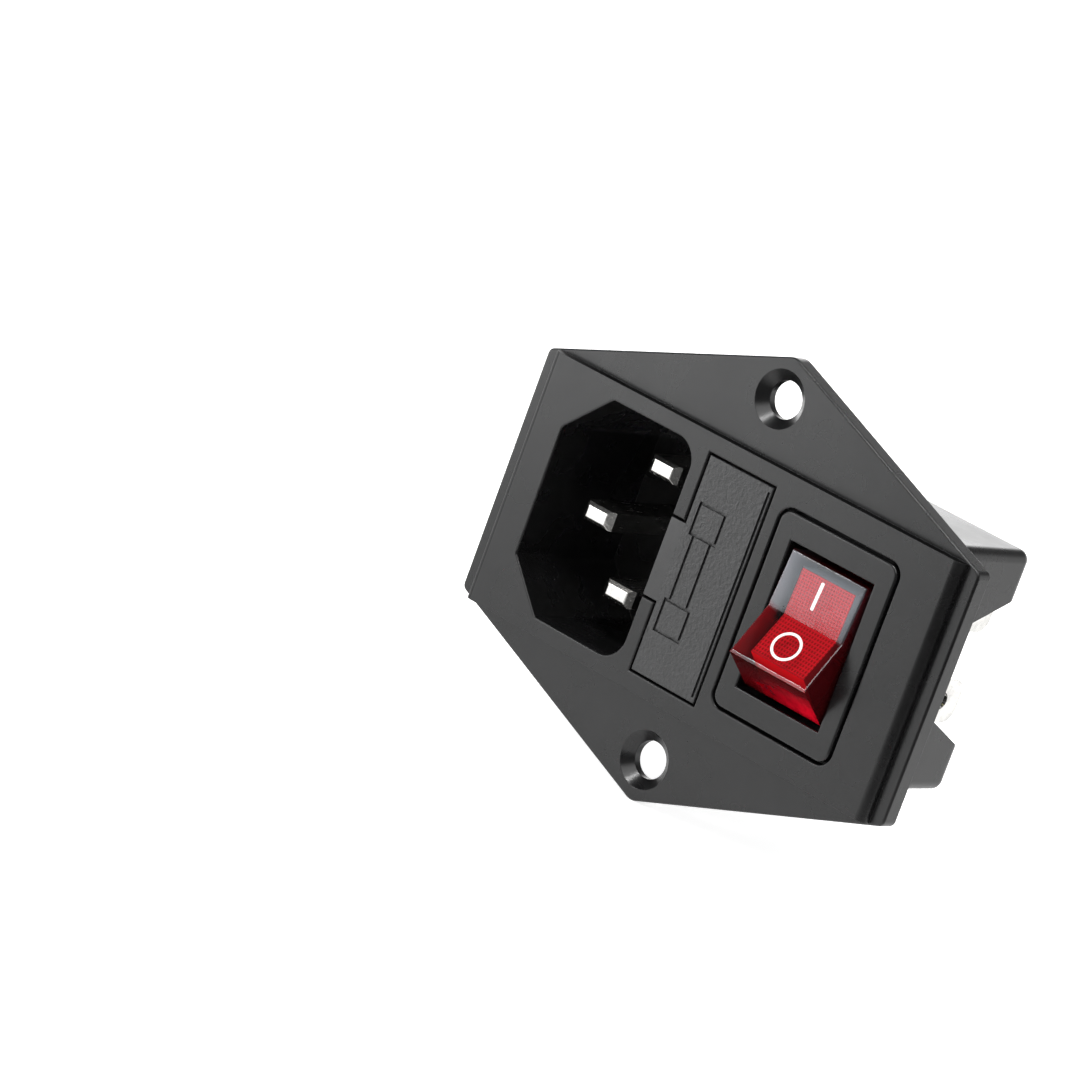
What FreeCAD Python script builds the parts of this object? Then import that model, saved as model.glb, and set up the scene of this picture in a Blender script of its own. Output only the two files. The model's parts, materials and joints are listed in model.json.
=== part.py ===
"""Panel power inlet with a fuse drawer and a lit double-pole rocker switch.

Frame: X runs along the flange from the inlet to the switch, -Y points out of the panel towards the user and
+Z is up. The origin is midway between the two screw holes, on the flange's back face. Millimetres.
"""
import FreeCAD, Part
import math
import os

import Sketcher

PAD = "PartDesign::Pad"
POCKET = "PartDesign::Pocket"
TURN = "PartDesign::Revolution"
GROOVE = "PartDesign::Groove"
X_PLANE = "YZ_Plane"
Y_PLANE = "XZ_Plane"
Z_PLANE = "XY_Plane"

# Driving dimensions: one named value for every size that can be set by itself.
SIZES = {
    # Flange and raised pad
    "flange_length": 58.7,
    "flange_end_width": 27.2,
    "ear_span": 49.2,
    "flange_thickness": 2.0,
    "ear_tip_radius": 1.8,
    "flange_corner_radius": 0.8,
    "flange_edge_radius": 0.25,
    "pad_margin": 1.6,
    "pad_width": 28.0,
    "pad_height": 1.3,
    "pad_end_radius": 1.0,
    "screw_pitch": 40.0,
    "screw_hole": 4.0,
    "countersink": 6.2,
    "rim_radius": 0.2,
    # Body behind the panel
    "body_depth": 18.8,
    "body_wall": 1.5,
    "body_side_wall": 1.25,
    "body_corner": 5.6,
    "body_edge_radius": 1.2,
    "end_wall": 1.4,
    # Inlet
    "inlet_width": 16.8,
    "inlet_height": 24.3,
    "inlet_depth": 17.0,
    "inlet_corner": 5.0,
    "inlet_round": 2.75,
    "inlet_blunt": 0.6,
    "inlet_wall": 1.9,
    "pin_width": 4.0,
    "pin_thickness": 2.0,
    "pin_pitch": 14.0,
    "pin_inset": 6.4,
    "earth_offset": 4.0,
    "power_pin_setback": 4.7,
    "earth_pin_setback": 2.2,
    "pin_tip": 0.7,
    "pin_tip_side": 0.4,
    "pin_tip_round": 0.3,
    "pin_fit": 0.04,
    # Back metalwork
    "tag_recess": 0.6,
    "tag_thickness": 0.8,
    "tag_width": 4.8,
    "foot_width": 5.4,
    "foot_overhang": 2.2,
    "tag_height": 9.0,
    "tag_round": 1.8,
    "tag_hole": 2.6,
    "tag_hole_drop": 3.4,
    "tag_clearance": 0.2,
    "neutral_tag_reach": 3.7,
    "earth_tag_reach": 2.6,
    "fuse_tag_reach": 2.3,
    "link_width": 4.7,
    "link_overhang": 2.0,
    "rivet_shank": 1.6,
    "rivet_head": 2.8,
    "rivet_height": 0.35,
    "rivet_fit": 0.03,
    "push_hole": 5.0,
    "tool_pocket_length": 2.6,
    "tool_pocket_width": 4.2,
    "tool_pocket_depth": 1.8,
    # Fuse drawer and fuse
    "drawer_x": -0.3,
    "drawer_width": 8.65,
    "drawer_height": 23.8,
    "drawer_plate": 1.6,
    "drawer_gap": 0.2,
    "drawer_ledge": 1.0,
    "drawer_wall": 0.9,
    "drawer_saddle": 1.2,
    "drawer_edge_radius": 0.15,
    "tab_height": 8.7,
    "tab_thickness": 2.2,
    "spare_height": 5.6,
    "fuse_length": 20.0,
    "fuse_diameter": 5.2,
    "fuse_tube_diameter": 4.9,
    "fuse_cap_length": 5.0,
    "fuse_cap_wall": 0.15,
    "fuse_bore": 3.4,
    "fuse_wire_diameter": 0.3,
    "fuse_play": 0.2,
    "saddle_fit": 0.05,
    "saddle_grip": 1.2,
    "clip_thickness": 0.6,
    "clip_width": 3.0,
    "clip_inset": 2.0,
    "clip_reach": 2.6,
    "clip_gap": 0.15,
    "clip_post": 1.0,
    "channel_gap": 0.9,
    # Switch frame
    "switch_wall": 2.0,
    "bezel_width": 15.35,
    "bezel_height": 21.45,
    "bezel_thickness": 1.7,
    "bezel_round": 1.3,
    "bezel_gap": 0.3,
    "bezel_proud": 0.1,
    "window_width": 11.0,
    "window_height": 16.0,
    "box_side_wall": 0.9,
    "box_end_wall": 1.4,
    "box_back": 14.0,
    "box_floor": 1.5,
    "box_gap": 0.12,
    "panel_web": 2.1,
    "bay_width": 13.6,
    "bay_height": 24.0,
    "snap_height": 0.9,
    "snap_length": 3.8,
    "snap_width": 5.5,
    "notch_width": 16.8,
    "notch_floor_width": 11.0,
    "notch_depth": 6.5,
    "barrier_thickness": 1.2,
    # Rocker
    "rocker_width": 10.1,
    "rocker_edge_half": 6.05,
    "rocker_edge_reach": 5.05,
    "rocker_crease_reach": 3.52,
    "rocker_skirt_half": 7.7,
    "rocker_skirt_drop": 0.8,
    "rocker_wall": 1.1,
    "rocker_side_wall": 1.5,
    "rocker_edge_radius": 0.3,
    "rocker_tilt": 20.5,
    "pivot_inset": 2.6,
    "trunnion": 2.4,
    "trunnion_length": 1.0,
    "trunnion_fit": 0.05,
    "lens_wall": 1.0,
    "lens_fit": 0.06,
    # Poles of the switch
    "pole_spacing": 6.6,
    "boss_diameter": 3.2,
    "boss_drop": 6.4,
    "bore_roof": 0.6,
    "plunger_diameter": 1.9,
    "plunger_fit": 0.05,
    "plunger_length": 6.6,
    "plunger_tip_radius": 0.85,
    "plunger_gap": 0.25,
    "spring_wire": 0.3,
    "spring_fit": 0.1,
    "spring_turns": 5,
    "blade_width": 2.8,
    "blade_half": 5.6,
    "blade_thickness": 0.5,
    "blade_rise": 12.0,
    "blade_tilt": 8.0,
    "fulcrum_height": 3.2,
    "fulcrum_gap": 0.05,
    "contact_diameter": 2.0,
    "contact_height": 0.4,
    "contact_z": 4.6,
    "contact_gap": 0.3,
    "terminal_thickness": 0.8,
    "terminal_width": 4.8,
    "terminal_z": 5.1,
    "terminal_length": 8.8,
    "terminal_round": 1.6,
    "terminal_hole": 1.9,
    "terminal_hole_drop": 3.2,
    "terminal_arm": 1.2,
    "terminal_fit": 0.04,
    "shelf_thickness": 0.8,
    # Lamp and its resistor
    "lamp_diameter": 2.6,
    "lamp_length": 7.2,
    "lamp_end_radius": 1.0,
    "lamp_depth": 5.0,
    "lamp_seat": 0.05,
    "resistor_diameter": 2.0,
    "resistor_length": 4.4,
    "resistor_end_radius": 0.5,
    "resistor_seat": 0.05,
    "lead_diameter": 0.5,
    "lead_gap": 0.05,
}

# Places that follow from the driving dimensions.
PLACES = {
    "drawer_left": "sizes.drawer_x - sizes.drawer_width / 2",
    "drawer_right": "sizes.drawer_x + sizes.drawer_width / 2",
    "inlet_right": "drawer_left - sizes.inlet_wall",
    "inlet_left": "inlet_right - sizes.inlet_width",
    "switch_x": "drawer_right + sizes.switch_wall + sizes.bezel_width / 2",
    "body_width": "sizes.inlet_height + 2 * sizes.body_side_wall",
    "body_left": "inlet_left - sizes.body_wall",
    "body_right": "switch_x + sizes.bay_width / 2 + sizes.end_wall",
    "pad_front": "-sizes.flange_thickness - sizes.pad_height",
    "pad_end": "sizes.flange_length / 2 - sizes.pad_margin",
    "inlet_floor": "pad_front + sizes.inlet_depth",
    "tag_floor": "sizes.body_depth - sizes.tag_recess",
    "tag_top": "tag_floor + sizes.tag_thickness",
    "power_pin_x": "inlet_right - sizes.pin_inset",
    "earth_pin_x": "power_pin_x - sizes.earth_offset",
    "power_pin_z": "sizes.pin_pitch / 2",
    "power_pin_tip": "pad_front + sizes.power_pin_setback",
    "earth_pin_tip": "pad_front + sizes.earth_pin_setback",
    "neutral_tag_x": "power_pin_x + sizes.neutral_tag_reach",
    "earth_tag_x": "earth_pin_x - sizes.earth_tag_reach",
    "fuse_tag_x": "sizes.drawer_x + sizes.fuse_tag_reach",
    "clip_z": "sizes.fuse_length / 2 - sizes.clip_inset",
    "plate_back": "pad_front + sizes.drawer_plate",
    "tray_half": "sizes.drawer_width / 2 - sizes.drawer_ledge",
    "tray_end": "sizes.fuse_length / 2 + sizes.fuse_play + sizes.drawer_wall",
    "spare_back": "plate_back + sizes.spare_height",
    "fuse_y": "spare_back + sizes.drawer_wall + sizes.fuse_play + sizes.fuse_diameter / 2",
    "clip_arm": "sizes.fuse_diameter / 2 + sizes.clip_gap",
    "clip_base": "fuse_y + sizes.fuse_diameter / 2 + sizes.channel_gap",
    "channel_floor": "clip_base + sizes.clip_thickness",
    "bezel_front": "pad_front - sizes.bezel_proud",
    "bezel_back": "bezel_front + sizes.bezel_thickness",
    "box_half_x": "sizes.window_width / 2 + sizes.box_side_wall",
    "box_half_z": "sizes.window_height / 2 + sizes.box_end_wall",
    "web_back": "bezel_back + sizes.panel_web",
    "box_inside": "sizes.box_back - sizes.box_floor",
    "notch_floor": "sizes.body_depth - sizes.notch_depth",
    "pivot_y": "pad_front + sizes.pivot_inset",
    "rocker_left": "switch_x - sizes.rocker_width / 2",
    "rocker_right": "switch_x + sizes.rocker_width / 2",
    "line_pole_x": "switch_x - sizes.pole_spacing / 2",
    "neutral_pole_x": "switch_x + sizes.pole_spacing / 2",
    "fulcrum_y": "box_inside - sizes.fulcrum_height",
    "blade_top": "fulcrum_y - sizes.fulcrum_gap - sizes.blade_thickness",
    "plunger_tip": "blade_top - sizes.plunger_gap",
    "plunger_top": "plunger_tip - sizes.plunger_length",
    "cap_under": "pivot_y - sizes.rocker_crease_reach + sizes.rocker_wall",
    "lens_under": "cap_under + sizes.lens_fit + sizes.lens_wall",
    "tube_top": "lens_under + sizes.lens_fit",
    "bore_y": "pivot_y - sizes.bore_roof",
    "arm_front": "box_inside - sizes.terminal_arm",
    "terminal_tip": "sizes.box_back + sizes.terminal_length",
    "lamp_y": "sizes.lamp_depth",
    "resistor_y": "sizes.box_back + sizes.resistor_seat + sizes.resistor_diameter / 2",
}

doc = FreeCAD.newDocument("PowerInlet")
pieces = []


def fill_sheet(name, cells, lead):
    """Spreadsheet with one row for each name."""
    sheet = doc.addObject("Spreadsheet::Sheet", name)
    for row, (alias, value) in enumerate(cells.items(), start=1):
        sheet.set(f"A{row}", alias)
        sheet.set(f"B{row}", f"{lead}{value}")
        sheet.setAlias(f"B{row}", alias)
    doc.recompute()
    return sheet


sizes = fill_sheet("sizes", SIZES, "")
places = fill_sheet("places", PLACES, "=")


def size(name):
    """Present value of a driving dimension."""
    return float(sizes.get(name))


def place(name):
    """Present value of a derived place."""
    return float(places.get(name))


def start_piece(node):
    """Empty body that becomes one piece of the object."""
    body = doc.addObject("PartDesign::Body", node)
    body.Label = node
    pieces.append(body)
    return body


def start_sketch(body, name, plane, level, centre=("0", "0")):
    """Sketch on one of the body's own planes, at a level along that plane's axis."""
    sketch = body.newObject("Sketcher::SketchObject", name)
    support = [feature for feature in body.Origin.OriginFeatures if feature.Role == plane]
    sketch.AttachmentSupport = (support[0], [""])
    sketch.MapMode = "FlatFace"
    turn = "-" if plane == Y_PLANE else ""
    sketch.setExpression("AttachmentOffset.Base.x", centre[0])
    sketch.setExpression("AttachmentOffset.Base.y", centre[1])
    sketch.setExpression("AttachmentOffset.Base.z", f"{turn}({level})")
    return sketch


def fix_point(sketch, line, end, point, across, along):
    """Ties one end of a line, or a circle's centre, to two expressions."""
    for kind, start, expression in (("DistanceX", point.x, across), ("DistanceY", point.y, along)):
        index = sketch.addConstraint(Sketcher.Constraint(kind, -1, 1, line, end, start))
        sketch.setExpression(f"Constraints[{index}]", expression)


def draw_outline(sketch, corners):
    """Closed outline of straight sides through the corners, each a pair of expressions."""
    count = len(corners)
    turns = [2 * math.pi * index / count for index in range(count)]
    ring = [FreeCAD.Vector(math.cos(turn), math.sin(turn), 0) for turn in turns]
    for index in range(count):
        sketch.addGeometry(Part.LineSegment(ring[index], ring[(index + 1) % count]))
    for index in range(count):
        sketch.addConstraint(Sketcher.Constraint("Coincident", index, 2, (index + 1) % count, 1))
    for index, (across, along) in enumerate(corners):
        fix_point(sketch, index, 1, ring[index], across, along)


def draw_circles(sketch, centres, diameter):
    """Circles of one diameter, each centre a pair of expressions."""
    for index, (across, along) in enumerate(centres):
        start = FreeCAD.Vector(index, index, 0)
        circle = sketch.addGeometry(Part.Circle(start, FreeCAD.Vector(0, 0, 1), 1.0))
        fix_point(sketch, circle, 3, start, across, along)
        width = sketch.addConstraint(Sketcher.Constraint("Diameter", circle, 2.0))
        sketch.setExpression(f"Constraints[{width}]", diameter)


def run_along(body, kind, name, plane, sketch, start, end):
    """Pads or pockets a sketch from its level to another one further along its axis."""
    before = body.Tip.Shape.Volume if body.Tip else 0.0
    feature = body.newObject(kind, name)
    feature.Profile = sketch
    feature.setExpression("Length", f"({end}) - ({start})")
    feature.Reversed = (kind == POCKET) == (plane != Y_PLANE)
    doc.recompute()
    grown = feature.Shape.Volume - before
    if (grown > 0) != (kind == PAD):
        raise ValueError(f"{body.Label}.{name} changes nothing")
    return feature


def prism(body, kind, name, plane, corners, start, end):
    """Straight-sided block or cut between two levels."""
    sketch = start_sketch(body, f"{name}_outline", plane, start)
    draw_outline(sketch, corners)
    return run_along(body, kind, name, plane, sketch, start, end)


def rods(body, kind, name, plane, centres, diameter, start, end):
    """Round rods or holes between two levels."""
    sketch = start_sketch(body, f"{name}_circles", plane, start)
    draw_circles(sketch, centres, diameter)
    return run_along(body, kind, name, plane, sketch, start, end)


def spin(body, kind, name, plane, corners, level, centre):
    """Solid of revolution, or a turned cut, about the sketch's upright axis."""
    sketch = start_sketch(body, f"{name}_section", plane, level, centre)
    draw_outline(sketch, corners)
    feature = body.newObject(kind, name)
    feature.Profile = sketch
    feature.ReferenceAxis = (sketch, ["V_Axis"])
    doc.recompute()
    return feature


def rectangle(low_x, high_x, low_z, high_z):
    """Corners of a rectangle."""
    return [(low_x, low_z), (high_x, low_z), (high_x, high_z), (low_x, high_z)]


def centred(middle, width, height, middle_z="0"):
    """Corners of a rectangle about a centre."""
    return rectangle(
        f"{middle} - ({width}) / 2", f"{middle} + ({width}) / 2",
        f"{middle_z} - ({height}) / 2", f"{middle_z} + ({height}) / 2",
    )


def straight(edge, axis):
    """Whether an edge is a straight line along X, Y or Z."""
    ends = [vertex.Point for vertex in edge.Vertexes]
    if len(ends) < 2:
        return False
    return near(abs(getattr(ends[1] - ends[0], axis)), edge.Length)


def near(value, target):
    """Whether two lengths agree."""
    return abs(value - target) < 1e-4


def dress(body, kind, name, amount, wanted):
    """Fillet or chamfer on the edges of the body that the test wants."""
    base = body.Tip
    edges = [f"Edge{index}" for index, edge in enumerate(base.Shape.Edges, start=1) if wanted(edge)]
    if not edges:
        raise ValueError(f"{body.Label}.{name} finds no edge")
    feature = body.newObject(kind, name)
    feature.Base = (base, edges)
    feature.setExpression("Radius" if kind.endswith("Fillet") else "Size", amount)
    doc.recompute()
    return feature


def round_edges(body, name, radius, wanted):
    """Fillet of the wanted edges."""
    return dress(body, "PartDesign::Fillet", name, radius, wanted)


def bevel_edges(body, name, amount, wanted):
    """Chamfer of the wanted edges."""
    return dress(body, "PartDesign::Chamfer", name, amount, wanted)


def cornered(left, right, height, corner):
    """Rectangle whose two corners at its left end are cut off."""
    half = f"({height}) / 2"
    return [
        (right, f"-{half}"), (right, half), (f"{left} + {corner}", half), (left, f"{half} - {corner}"),
        (left, f"-{half} + {corner}"), (f"{left} + {corner}", f"-{half}"),
    ]


def housing_shell(body):
    """Flange with its raised pad, and the body behind it."""
    end = "sizes.flange_length / 2"
    side = "sizes.flange_end_width / 2"
    ear = "sizes.ear_span / 2"
    hexagon = [(end, f"-{side}"), (end, side), ("0", ear),
               (f"-{end}", side), (f"-{end}", f"-{side}"), ("0", f"-{ear}")]
    prism(body, PAD, "flange", Y_PLANE, hexagon, "-sizes.flange_thickness", "0")
    round_edges(body, "ear_tips", "sizes.ear_tip_radius",
                lambda edge: straight(edge, "y") and near(edge.CenterOfMass.x, 0))
    round_edges(body, "flange_corners", "sizes.flange_corner_radius",
                lambda edge: straight(edge, "y")
                and near(abs(edge.CenterOfMass.x), size("flange_length") / 2))
    front = -size("flange_thickness")
    round_edges(body, "flange_rim", "sizes.flange_edge_radius", lambda edge: near(edge.BoundBox.YMax, front))
    prism(body, PAD, "pad", Y_PLANE, centred("0", "2 * places.pad_end", "sizes.pad_width"),
          "places.pad_front", "-sizes.flange_thickness")
    pad_front = place("pad_front")
    pad_end = place("pad_end")
    round_edges(body, "pad_ends", "sizes.pad_end_radius",
                lambda edge: straight(edge, "z") and near(edge.CenterOfMass.y, pad_front)
                and near(abs(edge.CenterOfMass.x), pad_end))
    outer = cornered("places.body_left", "places.body_right", "places.body_width", "sizes.body_corner")
    prism(body, PAD, "rear_body", Y_PLANE, outer, "0", "sizes.body_depth")
    depth = size("body_depth")
    round_edges(body, "body_corners", "sizes.body_edge_radius",
                lambda edge: straight(edge, "y") and near(edge.Length, depth))
    round_edges(body, "body_back_edge", "sizes.body_edge_radius",
                lambda edge: near(edge.BoundBox.YMin, depth))


def housing_inlet(body):
    """Inlet cavity with two cut corners and two round ones."""
    mouth = cornered("places.inlet_left", "places.inlet_right", "sizes.inlet_height", "sizes.inlet_corner")
    prism(body, POCKET, "inlet", Y_PLANE, mouth, "places.pad_front", "places.inlet_floor")
    deep = size("inlet_depth")
    right = place("inlet_right")
    round_edges(body, "inlet_round_corners", "sizes.inlet_round",
                lambda edge: straight(edge, "y") and near(edge.Length, deep)
                and near(edge.CenterOfMass.x, right))
    cut_end = place("inlet_left") + size("inlet_corner")
    round_edges(body, "inlet_blunt_corners", "sizes.inlet_blunt",
                lambda edge: straight(edge, "y") and near(edge.Length, deep)
                and (near(edge.CenterOfMass.x, cut_end) or edge.CenterOfMass.x < cut_end))


def housing_drawer_channel(body):
    """Recess for the drawer's plate, notch for its tab and the channel behind."""
    gap = "sizes.drawer_gap"
    prism(body, POCKET, "plate_recess", Y_PLANE,
          centred("sizes.drawer_x", f"sizes.drawer_width + 2 * {gap}", f"sizes.drawer_height + 2 * {gap}"),
          "places.pad_front", f"places.plate_back + {gap}")
    prism(body, POCKET, "drawer_channel", Y_PLANE,
          centred("sizes.drawer_x", f"2 * (places.tray_half + {gap})", f"2 * (places.tray_end + {gap})"),
          f"places.plate_back + {gap}", "places.channel_floor")
    tab = f"sizes.tab_height / 2 + {gap}"
    prism(body, POCKET, "tab_notch", Y_PLANE,
          rectangle("places.inlet_right - sizes.inlet_wall", f"places.drawer_left + {gap}", f"-({tab})", tab),
          "places.pad_front", f"places.pad_front + sizes.tab_thickness + {gap}")
    rods(body, POCKET, "push_out_hole", Y_PLANE, [("0", "0")], "sizes.push_hole",
         "places.channel_floor", "sizes.body_depth")


def housing_switch_bay(body):
    """Recess for the bezel, cut-out for the box, and the bay behind with its notched end wall."""
    prism(body, POCKET, "bezel_recess", Y_PLANE,
          centred("places.switch_x", "sizes.bezel_width + 2 * sizes.bezel_gap",
                  "sizes.bezel_height + 2 * sizes.bezel_gap"), "places.pad_front", "places.bezel_back")
    deep = place("bezel_back") - place("pad_front")
    left = place("switch_x") - size("bezel_width") / 2 - size("bezel_gap")
    right = place("switch_x") + size("bezel_width") / 2 + size("bezel_gap")
    round_edges(body, "recess_corners", "sizes.bezel_round + sizes.bezel_gap",
                lambda edge: straight(edge, "y") and near(edge.Length, deep)
                and (near(edge.CenterOfMass.x, left) or near(edge.CenterOfMass.x, right)))
    prism(body, POCKET, "box_cut_out", Y_PLANE,
          centred("places.switch_x", "2 * (places.box_half_x + sizes.box_gap)",
                  "2 * (places.box_half_z + sizes.box_gap)"), "places.bezel_back", "places.web_back")
    prism(body, POCKET, "switch_bay", Y_PLANE,
          centred("places.switch_x", "sizes.bay_width", "sizes.bay_height"),
          "places.web_back", "sizes.body_depth")
    top = "sizes.notch_width / 2"
    low = "sizes.notch_floor_width / 2"
    notch = [("sizes.body_depth", f"-{top}"), ("sizes.body_depth", top), ("places.notch_floor", low),
             ("places.notch_floor", f"-{low}")]
    prism(body, POCKET, "end_notch", X_PLANE, notch,
          "places.switch_x + sizes.bay_width / 2", "places.body_right")


def foot_span(pin, plate, toward):
    """Ends along X of a tag's foot, from its upright plate to past the rivet."""
    outer = f"{plate} {toward} sizes.tag_thickness / 2"
    past = f"{pin} {'-' if toward == '+' else '+'} sizes.foot_overhang"
    return (past, outer) if toward == "+" else (outer, past)


# Node, rivet's X, plate's X, Z of both, and the side that the plate stands on.
TAGS = [
    ("neutral_tag", "places.power_pin_x", "places.neutral_tag_x", "places.power_pin_z", "+"),
    ("earth_tag", "places.earth_pin_x", "places.earth_tag_x", "0", "-"),
    ("fuse_tag", "sizes.drawer_x", "places.fuse_tag_x", "places.clip_z", "+"),
]
LINK_Z = "-(places.power_pin_z + places.clip_z) / 2"
LINK_SPAN = ("places.power_pin_x - sizes.link_overhang", "sizes.drawer_x + sizes.link_overhang")


def tool_pocket(body, node, low, high, level):
    """Blind pocket past the free end of a seat, where the staking tool reaches in."""
    half = "sizes.tool_pocket_width / 2"
    prism(body, POCKET, f"{node}_tool_pocket", Y_PLANE,
          rectangle(low, high, f"{level} - {half}", f"{level} + {half}"),
          "sizes.body_depth - sizes.tool_pocket_depth", "sizes.body_depth")


def housing_back(body):
    """Seats for the tags and the link, slots for the pins and the fuse clips."""
    room = "sizes.tag_clearance"
    reach = "sizes.tool_pocket_length"
    for node, pin, plate, level, toward in TAGS:
        low, high = foot_span(pin, plate, toward)
        half = f"(sizes.foot_width / 2 + {room})"
        prism(body, POCKET, f"{node}_seat", Y_PLANE,
              rectangle(f"{low} - {room}", f"{high} + {room}", f"{level} - {half}", f"{level} + {half}"),
              "places.tag_floor", "sizes.body_depth")
        if toward == "+":
            tool_pocket(body, node, f"{low} - {reach}", f"{low} - {room} / 2", level)
        else:
            tool_pocket(body, node, f"{high} + {room} / 2", f"{high} + {reach}", level)
    half = f"(sizes.link_width / 2 + {room})"
    prism(body, POCKET, "link_seat", Y_PLANE,
          rectangle(f"{LINK_SPAN[0]} - {room}", f"{LINK_SPAN[1]} + {room}",
                    f"{LINK_Z} - {half}", f"{LINK_Z} + {half}"),
          "places.tag_floor", "sizes.body_depth")
    tool_pocket(body, "link", f"{LINK_SPAN[0]} - {reach}", f"{LINK_SPAN[0]} - {room} / 2", LINK_Z)
    for node, across, level, tip in PINS:
        prism(body, POCKET, f"{node}_slot", Y_PLANE,
              centred(across, "sizes.pin_width + 2 * sizes.pin_fit",
                      "sizes.pin_thickness + 2 * sizes.pin_fit", level),
              "places.inlet_floor", "places.tag_floor")
    for node, level in CLIPS:
        prism(body, POCKET, f"{node}_slot", Y_PLANE,
              centred("sizes.drawer_x", "sizes.clip_post + 2 * sizes.pin_fit",
                      "sizes.clip_width + 2 * sizes.pin_fit", level),
              "places.channel_floor", "places.tag_floor")


def housing_screw_holes(body):
    """Two countersunk holes through the ears."""
    reach = "sizes.screw_pitch / 2"
    rods(body, POCKET, "screw_holes", Y_PLANE, [("0", reach), ("0", f"-{reach}")], "sizes.screw_hole",
         "-sizes.flange_thickness", "0")
    front = "-sizes.flange_thickness"
    floor = f"{front} + (sizes.countersink - sizes.screw_hole) / 2"
    cone = [("0", front), ("sizes.countersink / 2", front), ("sizes.screw_hole / 2", floor), ("0", floor)]
    for name, level in (("upper_countersink", reach), ("lower_countersink", f"-{reach}")):
        spin(body, GROOVE, name, Z_PLANE, cone, level, ("0", "0"))


def housing_rims(body):
    """Small round on the rims of the openings in the pad."""
    front = place("pad_front")
    inside = place("pad_end") - size("pad_end_radius") - size("rim_radius")
    half = size("pad_width") / 2
    round_edges(body, "opening_rims", "sizes.rim_radius",
                lambda edge: near(edge.BoundBox.YMin, front) and near(edge.BoundBox.YMax, front)
                and abs(edge.CenterOfMass.x) < inside and abs(edge.CenterOfMass.z) < half - 1e-3)


def housing():
    """Black moulding that carries everything else."""
    body = start_piece("housing")
    housing_shell(body)
    housing_inlet(body)
    housing_drawer_channel(body)
    housing_switch_bay(body)
    housing_rims(body)
    housing_back(body)
    housing_screw_holes(body)


# Node, X, Z and tip of each inlet pin.
PINS = [
    ("line_pin", "places.power_pin_x", "-places.power_pin_z", "places.power_pin_tip"),
    ("neutral_pin", "places.power_pin_x", "places.power_pin_z", "places.power_pin_tip"),
    ("earth_pin", "places.earth_pin_x", "0", "places.earth_pin_tip"),
]


def rivet(body, across, level):
    """Shank through the foot of a tag, and the head closed over it."""
    rods(body, PAD, "shank", Y_PLANE, [(across, level)], "sizes.rivet_shank",
         "places.tag_floor", "places.tag_top")
    rods(body, PAD, "head", Y_PLANE, [(across, level)], "sizes.rivet_head",
         "places.tag_top", "places.tag_top + sizes.rivet_height")


def rivet_hole(body, across, level):
    """Hole in a foot for the rivet's shank."""
    rods(body, POCKET, f"rivet_hole_{len(body.Group)}", Y_PLANE, [(across, level)],
         "sizes.rivet_shank + 2 * sizes.rivet_fit", "places.tag_floor", "places.tag_top")


def inlet_pin(node, across, level, tip):
    """Flat blade with a bevelled and blunted tip, riveted at the back."""
    body = start_piece(node)
    prism(body, PAD, "blade", Y_PLANE, centred(across, "sizes.pin_width", "sizes.pin_thickness", level),
          tip, "places.tag_floor")
    front = body.Tip.Shape.BoundBox.YMin
    bevel_edges(body, "tip_ends", "sizes.pin_tip",
                lambda edge: straight(edge, "z") and near(edge.BoundBox.YMax, front))
    bevel_edges(body, "tip_sides", "sizes.pin_tip_side",
                lambda edge: straight(edge, "x") and near(edge.BoundBox.YMax, front))
    round_edges(body, "tip_round", "sizes.pin_tip_round", lambda edge: near(edge.BoundBox.YMax, front))
    rivet(body, across, level)


def solder_tag(node, pin, plate, level, toward):
    """Foot on the back wall and an upright plate with a round top and a wire hole."""
    body = start_piece(node)
    low, high = foot_span(pin, plate, toward)
    prism(body, PAD, "foot", Y_PLANE,
          rectangle(low, high, f"{level} - sizes.foot_width / 2", f"{level} + sizes.foot_width / 2"),
          "places.tag_floor", "places.tag_top")
    rivet_hole(body, pin, level)
    tip = "(sizes.body_depth + sizes.tag_height)"
    half = "sizes.tag_width / 2"
    prism(body, PAD, "plate", X_PLANE,
          rectangle("places.tag_top", tip, f"{level} - {half}", f"{level} + {half}"),
          f"{plate} - sizes.tag_thickness / 2", f"{plate} + sizes.tag_thickness / 2")
    back = size("body_depth") + size("tag_height")
    round_edges(body, "plate_top", "sizes.tag_round",
                lambda edge: straight(edge, "x") and near(edge.CenterOfMass.y, back))
    rods(body, POCKET, "wire_hole", X_PLANE, [(f"{tip} - sizes.tag_hole_drop", level)], "sizes.tag_hole",
         f"{plate} - sizes.tag_thickness / 2", f"{plate} + sizes.tag_thickness / 2")


def line_link():
    """Flat strip from the line pin to the lower fuse clip."""
    body = start_piece("line_link")
    half = "sizes.link_width / 2"
    prism(body, PAD, "strip", Y_PLANE,
          rectangle(LINK_SPAN[0], LINK_SPAN[1], f"{LINK_Z} - {half}", f"{LINK_Z} + {half}"),
          "places.tag_floor", "places.tag_top")
    rivet_hole(body, "places.power_pin_x", "-places.power_pin_z")
    rivet_hole(body, "sizes.drawer_x", "-places.clip_z")


# Node and Z of each fuse clip.
CLIPS = [("upper_fuse_clip", "places.clip_z"), ("lower_fuse_clip", "-places.clip_z")]


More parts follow.
